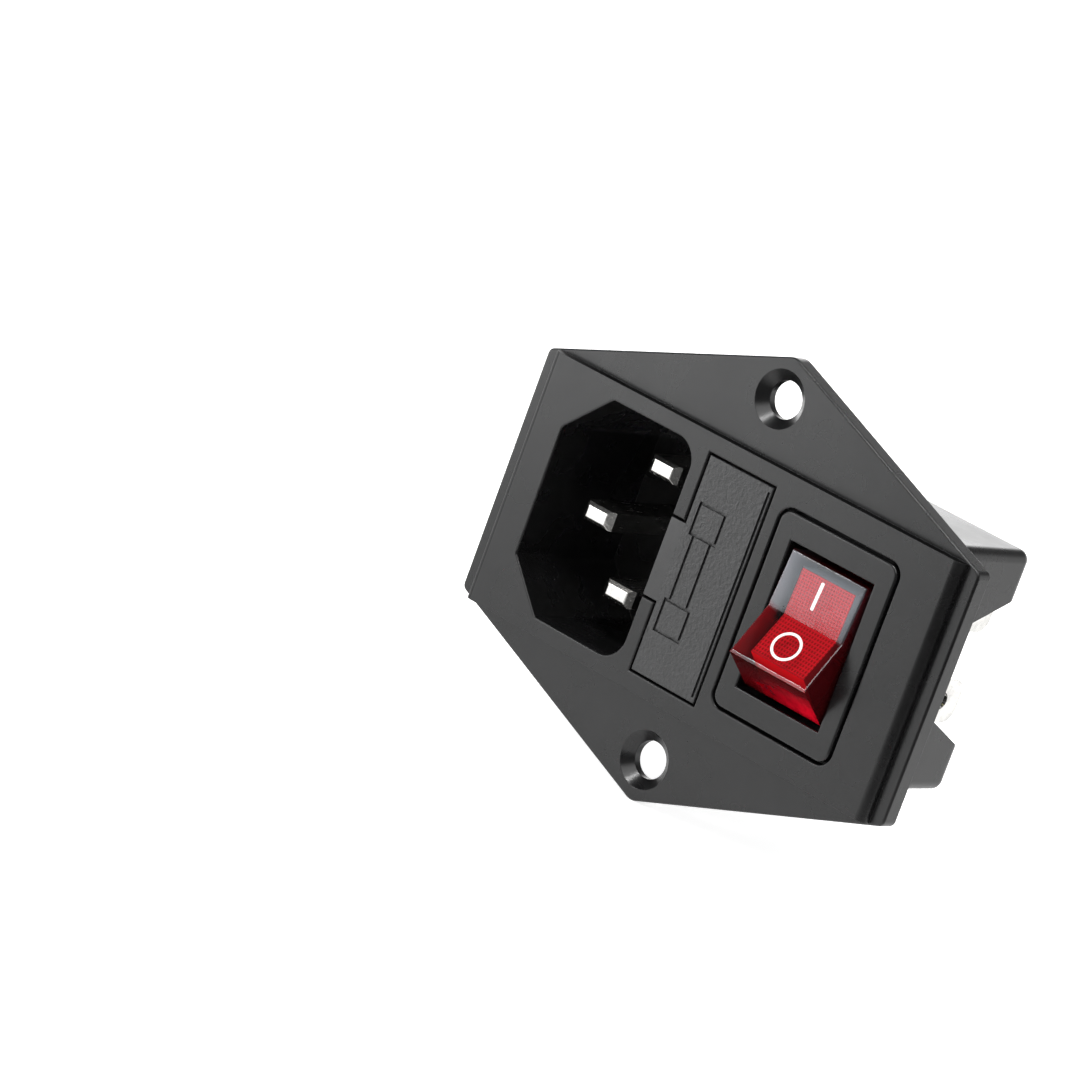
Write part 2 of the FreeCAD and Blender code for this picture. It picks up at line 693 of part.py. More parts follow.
def fuse_clip(node, level):
    """U-shaped spring clip on a post that goes through the back wall."""
    body = start_piece(node)
    thick = "sizes.clip_thickness"
    inner = "places.clip_arm"
    outer = f"({inner} + {thick})"
    mouth = "places.fuse_y - sizes.clip_reach"
    middle = "sizes.drawer_x"
    section = [
        (f"{middle} - {outer}", mouth), (f"{middle} - {inner}", mouth),
        (f"{middle} - {inner}", "places.clip_base"), (f"{middle} + {inner}", "places.clip_base"),
        (f"{middle} + {inner}", mouth), (f"{middle} + {outer}", mouth),
        (f"{middle} + {outer}", "places.channel_floor"), (f"{middle} - {outer}", "places.channel_floor"),
    ]
    half = "sizes.clip_width / 2"
    prism(body, PAD, "spring", Z_PLANE, section, f"{level} - {half}", f"{level} + {half}")
    prism(body, PAD, "post", Y_PLANE, centred(middle, "sizes.clip_post", "sizes.clip_width", level),
          "places.channel_floor", "places.tag_floor")
    rivet(body, middle, level)


def fuse_drawer():
    """Front plate with its pull tab, end walls, spare-fuse tray and two saddles for the fuse."""
    body = start_piece("fuse_drawer")
    middle = "sizes.drawer_x"
    prism(body, PAD, "plate", Y_PLANE, centred(middle, "sizes.drawer_width", "sizes.drawer_height"),
          "places.pad_front", "places.plate_back")
    tab = "sizes.tab_height / 2"
    prism(body, PAD, "tab", Y_PLANE, rectangle("places.inlet_right", "places.drawer_left", f"-{tab}", tab),
          "places.pad_front", "places.pad_front + sizes.tab_thickness")
    front = place("pad_front")
    round_edges(body, "plate_rim", "sizes.drawer_edge_radius", lambda edge: near(edge.BoundBox.YMax, front))
    back = "places.fuse_y"
    left = f"{middle} - places.tray_half"
    right = f"{middle} + places.tray_half"
    inside = "(places.tray_end - sizes.drawer_wall)"
    ends = [("upper_end", inside, "places.tray_end"), ("lower_end", "-places.tray_end", f"-{inside}")]
    for name, low, high in ends:
        prism(body, PAD, name, Y_PLANE, rectangle(left, right, low, high), "places.plate_back", back)
    prism(body, PAD, "spine", Y_PLANE, rectangle(left, f"{left} + sizes.drawer_wall", f"-{inside}", inside),
          "places.plate_back", "places.spare_back + sizes.drawer_wall")
    prism(body, PAD, "shelf", Y_PLANE, rectangle(f"{left} + sizes.drawer_wall", right, f"-{inside}", inside),
          "places.spare_back", "places.spare_back + sizes.drawer_wall")
    saddle_z = "(sizes.fuse_length / 2 - sizes.fuse_cap_length - sizes.drawer_saddle / 2 - sizes.fuse_play)"
    for name, level in (("upper_saddle", saddle_z), ("lower_saddle", f"-{saddle_z}")):
        prism(body, PAD, name, Y_PLANE, centred(middle, "2 * places.tray_half", "sizes.drawer_saddle", level),
              "places.spare_back + sizes.drawer_wall", "places.fuse_y + sizes.saddle_grip")
    rods(body, POCKET, "fuse_cradle", Z_PLANE, [(middle, "places.fuse_y")],
         "sizes.fuse_tube_diameter + 2 * sizes.saddle_fit", f"-{saddle_z} - sizes.drawer_saddle",
         f"{saddle_z} + sizes.drawer_saddle")


def fuse():
    """Glass tube, its two caps and the wire between them."""
    centre = ("sizes.drawer_x", "0")
    reach = "sizes.fuse_length / 2"
    inner = f"{reach} - sizes.fuse_cap_wall"
    tube = start_piece("fuse_tube")
    bore = "sizes.fuse_bore / 2"
    spin(tube, TURN, "glass", Y_PLANE, rectangle(bore, "sizes.fuse_tube_diameter / 2", f"-({inner})", inner),
         "places.fuse_y", centre)
    for node, sign in (("upper_fuse_cap", ""), ("lower_fuse_cap", "-")):
        cap = start_piece(node)
        outer = "sizes.fuse_diameter / 2"
        skirt = f"{outer} - sizes.fuse_cap_wall"
        brim = f"{sign}({reach} - sizes.fuse_cap_length)"
        cup = [("0", f"{sign}({reach})"), (outer, f"{sign}({reach})"), (outer, brim), (skirt, brim),
               (skirt, f"{sign}({inner})"), ("0", f"{sign}({inner})")]
        spin(cap, TURN, "cup", Y_PLANE, cup, "places.fuse_y", centre)
    wire = start_piece("fuse_wire")
    rods(wire, PAD, "strand", Z_PLANE, [("sizes.drawer_x", "places.fuse_y")], "sizes.fuse_wire_diameter",
         f"-({inner})", inner)


def switch_frame():
    """Bezel and box of the switch in one moulding, with snaps, terminal slots and a barrier."""
    body = start_piece("switch_frame")
    middle = "places.switch_x"
    prism(body, PAD, "bezel", Y_PLANE, centred(middle, "sizes.bezel_width", "sizes.bezel_height"),
          "places.bezel_front", "places.bezel_back")
    round_edges(body, "bezel_corners", "sizes.bezel_round", lambda edge: straight(edge, "y"))
    front = place("bezel_front")
    round_edges(body, "bezel_rim", "sizes.flange_edge_radius", lambda edge: near(edge.BoundBox.YMax, front))
    prism(body, PAD, "box", Y_PLANE, centred(middle, "2 * places.box_half_x", "2 * places.box_half_z"),
          "places.bezel_back", "sizes.box_back")
    end = "places.box_half_z"
    for name, sign in (("upper_snap", ""), ("lower_snap", "-")):
        wedge = [("places.web_back + sizes.box_gap", f"{sign}{end}"),
                 ("places.web_back + sizes.box_gap", f"{sign}({end} + sizes.snap_height)"),
                 ("places.web_back + sizes.box_gap + sizes.snap_length", f"{sign}{end}")]
        prism(body, PAD, name, X_PLANE, wedge, f"{middle} - sizes.snap_width / 2",
              f"{middle} + sizes.snap_width / 2")
    prism(body, POCKET, "window", Y_PLANE, centred(middle, "sizes.window_width", "sizes.window_height"),
          "places.bezel_front", "places.box_inside")
    bezel_band = (size("bezel_width") + size("window_width")) / 4
    bezel_end = (size("bezel_height") + size("window_height")) / 4
    round_edges(body, "window_rim", "sizes.rim_radius",
                lambda edge: near(edge.BoundBox.YMax, front) and abs(edge.CenterOfMass.z) < bezel_end
                and abs(edge.CenterOfMass.x - place("switch_x")) < bezel_band)
    rods(body, POCKET, "trunnion_holes", X_PLANE, [("places.pivot_y", "0")],
         "sizes.trunnion + 2 * sizes.trunnion_fit",
         f"{middle} - places.box_half_x", f"{middle} + places.box_half_x")
    prism(body, PAD, "barrier", Y_PLANE, centred(middle, "sizes.barrier_thickness", "sizes.window_height"),
          "places.lamp_y + sizes.lamp_diameter / 2 + sizes.lamp_seat", "places.box_inside")
    for pole in ("line_pole_x", "neutral_pole_x"):
        for side, sign in (("upper", ""), ("lower", "-")):
            prism(body, POCKET, f"{pole}_{side}_slot", Y_PLANE,
                  centred(f"places.{pole}", "sizes.terminal_thickness + 2 * sizes.terminal_fit",
                          "sizes.terminal_width + 2 * sizes.terminal_fit", f"{sign}sizes.terminal_z"),
                  "places.box_inside", "sizes.box_back")


def terminal_tab(body, pole, level):
    """Tab of a terminal behind the box, with a round end and a wire hole."""
    thick = "sizes.terminal_thickness / 2"
    half = "sizes.terminal_width / 2"
    prism(body, PAD, "tab", X_PLANE,
          rectangle("places.box_inside", "places.terminal_tip", f"{level} - {half}", f"{level} + {half}"),
          f"{pole} - {thick}", f"{pole} + {thick}")
    back = place("terminal_tip")
    round_edges(body, "tab_end", "sizes.terminal_round",
                lambda edge: straight(edge, "x") and near(edge.CenterOfMass.y, back))
    rods(body, POCKET, "wire_hole", X_PLANE, [("places.terminal_tip - sizes.terminal_hole_drop", level)],
         "sizes.terminal_hole", f"{pole} - {thick}", f"{pole} + {thick}")


def centre_terminal(node, pole):
    """Terminal whose inner arm carries the knife edge that a blade rocks on."""
    body = start_piece(node)
    thick = "sizes.terminal_thickness / 2"
    level = "sizes.terminal_z"
    terminal_tab(body, pole, level)
    arm = [("places.box_inside", f"{level} + sizes.terminal_width / 2"),
           ("places.arm_front", f"{level} + sizes.terminal_width / 2"),
           ("places.arm_front", "sizes.terminal_thickness"), ("places.fulcrum_y", "0"),
           ("places.arm_front", "-sizes.terminal_thickness"),
           ("places.box_inside", "-sizes.terminal_thickness")]
    prism(body, PAD, "knife_arm", X_PLANE, arm, f"{pole} - {thick}", f"{pole} + {thick}")


def contact_height_under_blade():
    """Y of the fixed contact's face, just behind the blade's own contact at rest."""
    slope = "tan(sizes.blade_rise * 1 deg - sizes.blade_tilt * 1 deg)"
    under = f"(places.fulcrum_y - sizes.fulcrum_gap - sizes.contact_z * {slope})"
    return f"({under} + sizes.contact_height + sizes.contact_gap)"


def contact_terminal(node, pole):
    """Terminal with a shelf and a silver contact that the blade's end comes down on."""
    body = start_piece(node)
    thick = "sizes.terminal_thickness / 2"
    level = "-sizes.terminal_z"
    terminal_tab(body, pole, level)
    face = contact_height_under_blade()
    shelf = f"({face} + sizes.contact_height)"
    half = "sizes.terminal_width / 2"
    prism(body, PAD, "riser", X_PLANE,
          rectangle(f"{shelf} + sizes.shelf_thickness", "places.box_inside",
                    f"{level} - {half}", f"{level} + {half}"),
          f"{pole} - {thick}", f"{pole} + {thick}")
    prism(body, PAD, "shelf", Y_PLANE, centred(pole, "sizes.blade_width", "sizes.terminal_width", level),
          shelf, f"{shelf} + sizes.shelf_thickness")
    rods(body, PAD, "contact", Y_PLANE, [(pole, "-sizes.contact_z")], "sizes.contact_diameter", face, shelf)


def turned(angle, level):
    """Placement that turns a piece about an axis along X."""
    return FreeCAD.Placement(FreeCAD.Vector(), FreeCAD.Rotation(FreeCAD.Vector(1, 0, 0), angle),
                             FreeCAD.Vector(0, level, 0))


def blade(node, pole):
    """Shallow V of spring metal that rocks on the knife edge, with a contact near its lower end."""
    body = start_piece(node)
    rise = "sizes.blade_half * tan(sizes.blade_rise * 1 deg)"
    under = "(places.fulcrum_y - sizes.fulcrum_gap)"
    section = [(under, "0"), (f"{under} - {rise}", "sizes.blade_half"),
               (f"{under} - {rise} - sizes.blade_thickness", "sizes.blade_half"), ("places.blade_top", "0"),
               (f"{under} - {rise} - sizes.blade_thickness", "-sizes.blade_half"),
               (f"{under} - {rise}", "-sizes.blade_half")]
    prism(body, PAD, "strip", X_PLANE, section,
          f"{pole} - sizes.blade_width / 2", f"{pole} + sizes.blade_width / 2")
    face = f"({under} - sizes.contact_z * tan(sizes.blade_rise * 1 deg))"
    rods(body, PAD, "contact", Y_PLANE, [(pole, "-sizes.contact_z")], "sizes.contact_diameter",
         f"{face} - sizes.blade_thickness / 2", f"{face} + sizes.contact_height")
    body.Placement = turned(size("blade_tilt"), place("fulcrum_y"))


def rocker_section(inset):
    """Side profile of the rocker before it is tilted, set in by a wall."""
    pivot = "places.pivot_y"
    edge_y = f"{pivot} - sizes.rocker_edge_reach + {inset}"
    crease_y = f"{pivot} - sizes.rocker_crease_reach + {inset}"
    skirt_y = f"{pivot} + sizes.rocker_skirt_drop"
    edge_z = f"(sizes.rocker_edge_half - ({inset}))"
    skirt_z = f"(sizes.rocker_skirt_half - ({inset}))"
    return [(edge_y, edge_z), (crease_y, "0"), (edge_y, f"-{edge_z}"),
            (skirt_y, f"-{skirt_z}"), (skirt_y, skirt_z)]


# X and Z of the two tubes that hold the plungers.
POLES = [("places.line_pole_x", "0"), ("places.neutral_pole_x", "0")]


def rocker():
    """Hollow clear see-saw cap with two facets, trunnions and, on its side walls, two plunger tubes."""
    body = start_piece("rocker")
    pivot = "places.pivot_y"
    prism(body, PAD, "cap", X_PLANE, rocker_section("0"), "places.rocker_left", "places.rocker_right")
    crease = place("pivot_y") - size("rocker_crease_reach")
    skirt = place("pivot_y") + size("rocker_skirt_drop")
    round_edges(body, "cap_edges", "sizes.rocker_edge_radius",
                lambda edge: edge.BoundBox.YMax < skirt - 1e-3
                and not (straight(edge, "x") and near(edge.CenterOfMass.y, crease)))
    prism(body, POCKET, "hollow", X_PLANE, rocker_section("sizes.rocker_wall"),
          "places.rocker_left + sizes.rocker_side_wall", "places.rocker_right - sizes.rocker_side_wall")
    rods(body, PAD, "tubes", Y_PLANE, POLES, "sizes.boss_diameter",
         "places.tube_top", f"{pivot} + sizes.boss_drop")
    rods(body, POCKET, "bores", Y_PLANE, POLES, "sizes.plunger_diameter + 2 * sizes.plunger_fit",
         "places.bore_y", f"{pivot} + sizes.boss_drop")
    outer = "sizes.trunnion_length"
    for name, low, high in (("left_trunnion", f"places.rocker_left - {outer}", "places.rocker_left"),
                            ("right_trunnion", "places.rocker_right", f"places.rocker_right + {outer}")):
        rods(body, PAD, name, X_PLANE, [(pivot, "0")], "sizes.trunnion", low, high)
    body.Placement = turned(-size("rocker_tilt"), place("pivot_y"))


def rocker_lens():
    """Red insert that fills the clear cap: a folded plate with walls, notched round the tubes."""
    body = start_piece("rocker_lens")
    low = "places.rocker_left + sizes.rocker_side_wall + sizes.lens_fit"
    high = "places.rocker_right - sizes.rocker_side_wall - sizes.lens_fit"
    outside = "sizes.rocker_wall + sizes.lens_fit"
    prism(body, PAD, "block", X_PLANE, rocker_section(outside), low, high)
    prism(body, POCKET, "underside", X_PLANE, rocker_section(f"{outside} + sizes.lens_wall"),
          f"{low} + sizes.lens_wall", f"{high} - sizes.lens_wall")
    rods(body, POCKET, "tube_notches", Y_PLANE, POLES, "sizes.boss_diameter + 2 * sizes.lens_fit",
         "places.tube_top - sizes.lens_fit / 2", "places.pivot_y + sizes.rocker_skirt_drop")
    body.Placement = turned(-size("rocker_tilt"), place("pivot_y"))


def plunger(node, pole):
    """Round-ended plunger in its tube, and the spring above it."""
    body = start_piece(node)
    rods(body, PAD, "stem", Y_PLANE, [(pole, "0")], "sizes.plunger_diameter",
         "places.plunger_top", "places.plunger_tip")
    tip = place("plunger_tip")
    round_edges(body, "tip", "sizes.plunger_tip_radius", lambda edge: near(edge.BoundBox.YMin, tip))
    body.Placement = turned(-size("rocker_tilt"), place("pivot_y"))


def plunger_spring(node, pole):
    """Helical spring between the end of the bore and the plunger."""
    wire = size("spring_wire") / 2
    radius = size("plunger_diameter") / 2 - size("spring_fit") - wire
    low = place("bore_y") + wire + size("spring_fit")
    high = place("plunger_top") - wire - size("spring_fit")
    path = Part.makeHelix((high - low) / size("spring_turns"), high - low, radius)
    ring = Part.makeCircle(wire, FreeCAD.Vector(radius, 0, 0), FreeCAD.Vector(0, 1, 0))
    coil = Part.Wire(path).makePipeShell([Part.Wire([ring])], True, True)
    spring = doc.addObject("Part::Feature", node)
    spring.Label = node
    upright = FreeCAD.Placement(FreeCAD.Vector(place(pole), low, 0),
                                FreeCAD.Rotation(FreeCAD.Vector(1, 0, 0), -90))
    spring.Shape = coil
    spring.Placement = turned(-size("rocker_tilt"), place("pivot_y")) * upright
    pieces.append(spring)


def neon_lamp():
    """Small glass lamp that lies on the barrier under the rocker."""
    body = start_piece("neon_lamp")
    rods(body, PAD, "bulb", Z_PLANE, [("places.switch_x", "places.lamp_y")], "sizes.lamp_diameter",
         "-sizes.lamp_length / 2", "sizes.lamp_length / 2")
    end = size("lamp_length") / 2
    round_edges(body, "bulb_ends", "sizes.lamp_end_radius", lambda edge: near(abs(edge.CenterOfMass.z), end))


def lamp_resistor():
    """Resistor on the back of the switch box, with a lead to a terminal at each end."""
    body = start_piece("lamp_resistor")
    half = "sizes.resistor_length / 2"
    middle = "places.switch_x"
    rods(body, PAD, "barrel", X_PLANE, [("places.resistor_y", "0")], "sizes.resistor_diameter",
         f"{middle} - {half}", f"{middle} + {half}")
    end = size("resistor_length") / 2
    centre = place("switch_x")
    round_edges(body, "barrel_ends", "sizes.resistor_end_radius",
                lambda edge: near(abs(edge.CenterOfMass.x - centre), end))
    reach = "(sizes.terminal_z - sizes.terminal_width / 2 - sizes.lead_gap)"
    lead = "sizes.lead_diameter / 2"
    rods(body, PAD, "right_lead", X_PLANE, [("places.resistor_y", "0")], "sizes.lead_diameter",
         f"{middle} + {half}", f"places.neutral_pole_x + {lead}")
    rods(body, PAD, "right_foot", Z_PLANE, [("places.neutral_pole_x", "places.resistor_y")],
         "sizes.lead_diameter", "0", reach)
    rods(body, PAD, "left_lead", X_PLANE, [("places.resistor_y", "0")], "sizes.lead_diameter",
         f"places.line_pole_x - {lead}", f"{middle} - {half}")
    rods(body, PAD, "left_foot", Z_PLANE, [("places.line_pole_x", "places.resistor_y")],
         "sizes.lead_diameter", f"-{reach}", "0")


def check_and_export():
    """Stops on any failed object, then writes one file for each piece."""
    doc.recompute()
    for item in doc.Objects:
        if "Invalid" in item.State or "Error" in item.State:
            raise ValueError(f"{item.Label} failed")
    for piece in pieces:
        if piece.Shape.isNull() or not piece.Shape.isValid() or not piece.Shape.Solids:
            raise ValueError(f"{piece.Label} has no valid solid")
    os.makedirs("parts", exist_ok=True)
    for piece in pieces:
        piece.Shape.exportStep(f"parts/{piece.Label}.step")
        print(piece.Label, len(piece.Shape.Solids), round(piece.Shape.Volume, 2))


housing()
for pin in PINS:
    inlet_pin(*pin)
for tag in TAGS:
    solder_tag(*tag)
line_link()
for clip in CLIPS:
    fuse_clip(*clip)
fuse_drawer()
fuse()
switch_frame()
for name in ("line", "neutral"):
    centre_terminal(f"{name}_centre_terminal", f"places.{name}_pole_x")
    contact_terminal(f"{name}_contact_terminal", f"places.{name}_pole_x")
    blade(f"{name}_blade", f"places.{name}_pole_x")
    plunger(f"{name}_plunger", f"places.{name}_pole_x")
    plunger_spring(f"{name}_plunger_spring", f"{name}_pole_x")
rocker()
rocker_lens()
neon_lamp()
lamp_resistor()
check_and_export()
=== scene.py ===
"""Looks of the panel power inlet: finishes, marks on the drawer and the rocker, floor, light and camera.

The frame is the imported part's own: metres, +X from the inlet to the switch, -Y out of the panel, +Z up.
"""
import json
import math

import bpy
from mathutils import Matrix, Vector


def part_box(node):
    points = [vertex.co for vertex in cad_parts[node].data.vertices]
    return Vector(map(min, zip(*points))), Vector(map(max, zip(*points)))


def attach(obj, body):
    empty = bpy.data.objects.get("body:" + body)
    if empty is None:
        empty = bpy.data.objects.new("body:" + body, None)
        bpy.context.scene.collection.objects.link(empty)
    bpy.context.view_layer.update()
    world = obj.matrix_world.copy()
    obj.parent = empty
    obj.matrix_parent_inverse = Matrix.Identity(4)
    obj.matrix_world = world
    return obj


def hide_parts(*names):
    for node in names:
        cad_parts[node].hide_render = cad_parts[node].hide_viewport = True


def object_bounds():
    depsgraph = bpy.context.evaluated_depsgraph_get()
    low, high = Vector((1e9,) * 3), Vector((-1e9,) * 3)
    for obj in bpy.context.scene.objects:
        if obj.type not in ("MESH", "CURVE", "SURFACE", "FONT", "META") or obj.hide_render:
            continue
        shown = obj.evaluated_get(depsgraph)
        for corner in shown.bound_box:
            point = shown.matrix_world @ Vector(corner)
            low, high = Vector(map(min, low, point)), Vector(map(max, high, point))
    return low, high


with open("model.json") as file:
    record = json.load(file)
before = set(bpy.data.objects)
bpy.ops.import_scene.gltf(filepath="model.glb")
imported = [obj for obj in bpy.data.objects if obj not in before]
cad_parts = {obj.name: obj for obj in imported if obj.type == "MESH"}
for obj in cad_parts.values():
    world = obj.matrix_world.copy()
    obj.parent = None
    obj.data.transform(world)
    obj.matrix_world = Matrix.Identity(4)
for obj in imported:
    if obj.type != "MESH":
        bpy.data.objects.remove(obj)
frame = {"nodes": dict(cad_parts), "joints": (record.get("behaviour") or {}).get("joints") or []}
cad_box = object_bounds()
nodes = frame["nodes"]
joints = {joint["name"]: joint for joint in frame["joints"]}
MM = 0.001

# Places and sizes on the part that the finishes follow, in millimetres
TAB_EDGE = -4.62
TAB_BLEND = 0.1
STEP_FOOT = -2.0
LEFT_END = -26.7
LEFT_FADE = -20.5
STAKE_START = 19.02
STAKE_BLEND = 0.05
# Between these the cap's end walls go from painted shade to painted red light, and its inner walls turn from
# red to a painted grey sheen
WALL_TOP = -5.6
WALL_FOOT = -2.2
WALL_LEFT = 9.0
WALL_RIGHT = 18.0
CREASE_BLEND = 0.4
LENS_GRID = 0.36
RESISTOR_HALF = 2.2
LEAD_BLEND = 0.05

# Softness of the edges' shading, in millimetres
EDGE_SOFTNESS = 0.1
PLATE_SOFTNESS = 0.06

# Gloss of the pad's sides: their shine, and how matt the left end and the left corners are
STEP_SHINE = 0.03
LEFT_MATT = 0.52
CORNER_MATT = 0.5

# The clear cap's mirror film, face on, at the rim and on walls, and how solid its walls look
FILM_FACE = 0.075
FILM_RIM = 0.5
FILM_POWER = 5.0
WALL_FILM = 0.2
WALL_SHARE = 0.93

# Colours and tables of tones of the finishes; those of the cap's walls and the lens's ribs are painted shade
# and light
NICKEL = (0.75, 0.74, 0.715)
CAP_PAINTED_SHEEN = (0.29, 0.31, 0.34)
CAP_CLEAR = (0.96, 0.92, 0.92, 1.0)
CAP_PAINTED_SHADE = (0.035, 0.002, 0.003, 1.0)
CAP_END_SHADE_REDS = [(0.0, (0.015, 0.001, 0.001)), (0.35, (0.045, 0.001, 0.002)), (1.0, (0.42, 0.003, 0.012))]
LENS_SHADED_REDS = [(0.0, (0.15, 0.001, 0.002)), (0.7, (0.38, 0.002, 0.006)), (1.0, (0.55, 0.005, 0.014))]
LACQUER = (0.56, 0.42, 0.25)
RESISTOR_BANDS = [
    (0.0, LACQUER), (0.16, (0.1, 0.03, 0.012)), (0.26, LACQUER), (0.36, (0.03, 0.2, 0.06)), (0.46, LACQUER),
    (0.54, (0.65, 0.45, 0.03)), (0.64, LACQUER), (0.78, (0.5, 0.34, 0.1)), (0.88, LACQUER),
]

# Shape of the rocker at rest, in millimetres and degrees
ROCKER_EDGE_HALF = 6.05
ROCKER_EDGE_REACH = 5.05
ROCKER_CREASE_REACH = 3.52
ROCKER_REST_TILT = -20.5

# Fuse outline and edge line engraved in the drawer's face, in millimetres
LINE_WIDTH = 0.3
LINE_DEPTH = 0.25
FUSE_LEFT = -3.65
FUSE_RIGHT = -0.3
TUBE_LEFT = -3.1
TUBE_RIGHT = -0.8
FUSE_CAP_START = 3.65
FUSE_CAP_END = 7.0
EDGE_LINE_X = 3.65
EDGE_LINE_HALF = 11.3
MERGE_DISTANCE = 0.0005

# Angles in degrees: between faces that count as flat, and below which an edge is shaded smooth
FLAT_ANGLE = 0.1
DRAWER_SMOOTH_ANGLE = 20
MARK_SMOOTH_ANGLE = 30

# Printed marks of the rocker, in millimetres, and the number of the ring's corners
MARK_RAISE = 0.05
MARK_SINK = 0.02
MARK_BEVEL = 0.02
BAR_WIDTH = 0.4
BAR_LENGTH = 3.0
BAR_MIDDLE = 3.05
BAR_CORNER = 0.12
RING_RADIUS = 1.68
RING_STROKE = 0.3
RING_MIDDLE = 3.0
RING_CORNERS = 96

# Floor in metres, its drop below the part in millimetres, its glow, and the painted glow it shows in the
# part's reflections
FLOOR_HALF = 4.0
FLOOR_DROP = 0.02
FLOOR_GLOW = 0.8
MIRRORED_PAINTED_GLOW = 0.4

# Painted shade toward the surround's dim side on the right and painted light far on the left, in the floor as
# mirrored: direction, millimetres and level
ROOM_SIDE = (0.81, -0.587, 0.0)
ROOM_START = 25.0
ROOM_END = 80.0
MIRROR_SHADE_LEVEL = 0.05
MIRROR_LIGHT_SIDE = (-0.9, -0.436, 0.0)
MIRROR_LIGHT_START = 135.0
MIRROR_LIGHT_END = 185.0
MIRROR_LIGHT_LEVEL = 5.0

# Surround: levels by height, and its strength from the left to the dark room
SKY_LEVELS = [(0.0, 1.0), (0.3, 0.9), (0.48, 0.12), (0.75, 0.04), (1.0, 0.5)]
SKY_STRENGTH = 1.15
SKY_ROOM_STRENGTH = 0.1
SKY_ROOM_START = 0.5
SKY_ROOM_END = 0.85

# Area lights: name, direction, distance, width and height in metres, power in watts and colour
WHITE = (1.0, 1.0, 1.0)
SOFTBOXES = [
    ("front_left_softbox", (-0.574, -0.818, 0.06), 0.9, 0.45, 0.22, 0.62, (0.93, 0.97, 1.0)),
    ("edge_softbox", (-0.574, -0.72, 0.39), 0.9, 0.2, 0.14, 1.2, WHITE),
    ("back_left_softbox", (-0.574, 0.79, 0.24), 0.8, 0.5, 0.3, 0.75, WHITE),
    ("high_right_softbox", (0.36, -0.4, 0.84), 1.5, 1.2, 1.2, 13.0, WHITE),
    ("overhead_softbox", (0.1, 0.15, 0.98), 1.5, 1.5, 1.5, 6.0, WHITE),
    ("glint_softbox", (-0.05, -0.44, 0.9), 1.5, 0.2, 0.2, 6.0, WHITE),
]

# Camera: place and near limit in metres, turns in degrees, lens and sensor in millimetres
CAMERA_EYE = (0.290776, -0.43286, 0.113605)
CAMERA_AZIMUTH = 35.9868
CAMERA_ELEVATION = 12.5205
CAMERA_ROLL = 20.1742
CAMERA_LENS = 174.79
CAMERA_SENSOR = 36.0
CAMERA_NEAR = 0.01


# Selecting and editing by hand-like steps

def deselect_all():
    """Leaves nothing selected, so that an operator acts on one piece only."""
    if bpy.context.object and bpy.context.object.mode != "OBJECT":
        bpy.ops.object.mode_set(mode="OBJECT")
    bpy.ops.object.select_all(action="DESELECT")


def pick(piece):
    """Makes one piece the active and only selected one."""
    deselect_all()
    piece.select_set(True)
    bpy.context.view_layer.objects.active = piece


def settle(piece):
    """Moves the object's place, turn and size into its mesh."""
    pick(piece)
    bpy.ops.object.transform_apply(location=True, rotation=True, scale=True)


def apply_modifier(piece, kind, **values):
    """Adds one modifier and applies it."""
    modifier = piece.modifiers.new(kind.lower(), kind)
    for name, value in values.items():
        setattr(modifier, name, value)
    pick(piece)
    bpy.ops.object.modifier_apply(modifier=modifier.name)


def leave_rim(piece, width_mm):
    """Cuts the middle out of a flat piece and leaves a rim."""
    pick(piece)
    bpy.ops.object.mode_set(mode="EDIT")
    bpy.ops.mesh.select_mode(type="FACE")
    bpy.ops.mesh.select_all(action="SELECT")
    bpy.ops.mesh.inset(thickness=width_mm * MM)
    bpy.ops.mesh.delete(type="FACE")
    bpy.ops.object.mode_set(mode="OBJECT")


def outward(piece):
    """Turns every face of a closed piece outwards."""
    pick(piece)
    bpy.ops.object.mode_set(mode="EDIT")
    bpy.ops.mesh.select_all(action="SELECT")
    bpy.ops.mesh.normals_make_consistent(inside=False)
    bpy.ops.object.mode_set(mode="OBJECT")


def dress(piece, material, body):
    """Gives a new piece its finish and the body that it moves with."""
    piece.data.materials.clear()
    piece.data.materials.append(material)
    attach(piece, body)


# Steps that the finishes share

def start_finish(name, color, roughness, **sockets):
    """Material with one principled shader and its constant values."""
    material = bpy.data.materials.new(name)
    material.use_nodes = True
    shader = material.node_tree.nodes["Principled BSDF"]
    shader.inputs["Base Color"].default_value = (*color, 1.0)
    shader.inputs["Roughness"].default_value = roughness
    for socket, value in sockets.items():
        shader.inputs[socket.replace("_", " ")].default_value = value
    return material, shader


def add_node(owner, kind, inputs=None, **settings):
    """Node with settings, and inputs that are values or other nodes' sockets."""
    tree = owner.node_tree
    made = tree.nodes.new(kind)
    for name, value in settings.items():
        setattr(made, name, value)
    for name, value in (inputs or {}).items():
        if isinstance(value, bpy.types.NodeSocket):
            tree.links.new(value, made.inputs[name])
        else:
            made.inputs[name].default_value = value
    return made


def connect(owner, output, shader, socket):
    """Links an output to one socket of the shader."""
    owner.node_tree.links.new(output, shader.inputs[socket])


def object_place(material):
    """Object coordinates, in metres."""
    return add_node(material, "ShaderNodeTexCoord").outputs["Object"]


def along_axis(material, axis):
    """One object coordinate, in metres."""
    return add_node(material, "ShaderNodeSeparateXYZ", {"Vector": object_place(material)}).outputs[axis]


def dot_product(owner, first, second):
    """Dot product of two vectors."""
    made = add_node(owner, "ShaderNodeVectorMath", {0: first, 1: second}, operation="DOT_PRODUCT")
    return made.outputs["Value"]


def reach_along(material, direction):
    """How far a point lies along a direction, in metres."""
    return dot_product(material, object_place(material), direction)


def arithmetic(material, operation, *values):
    """Math node on values or other nodes' sockets."""
    return add_node(material, "ShaderNodeMath", dict(enumerate(values)), operation=operation).outputs["Value"]


def product(material, first, *others):
    """Product of values or other nodes' sockets."""
    for other in others:
        first = arithmetic(material, "MULTIPLY", first, other)
    return first


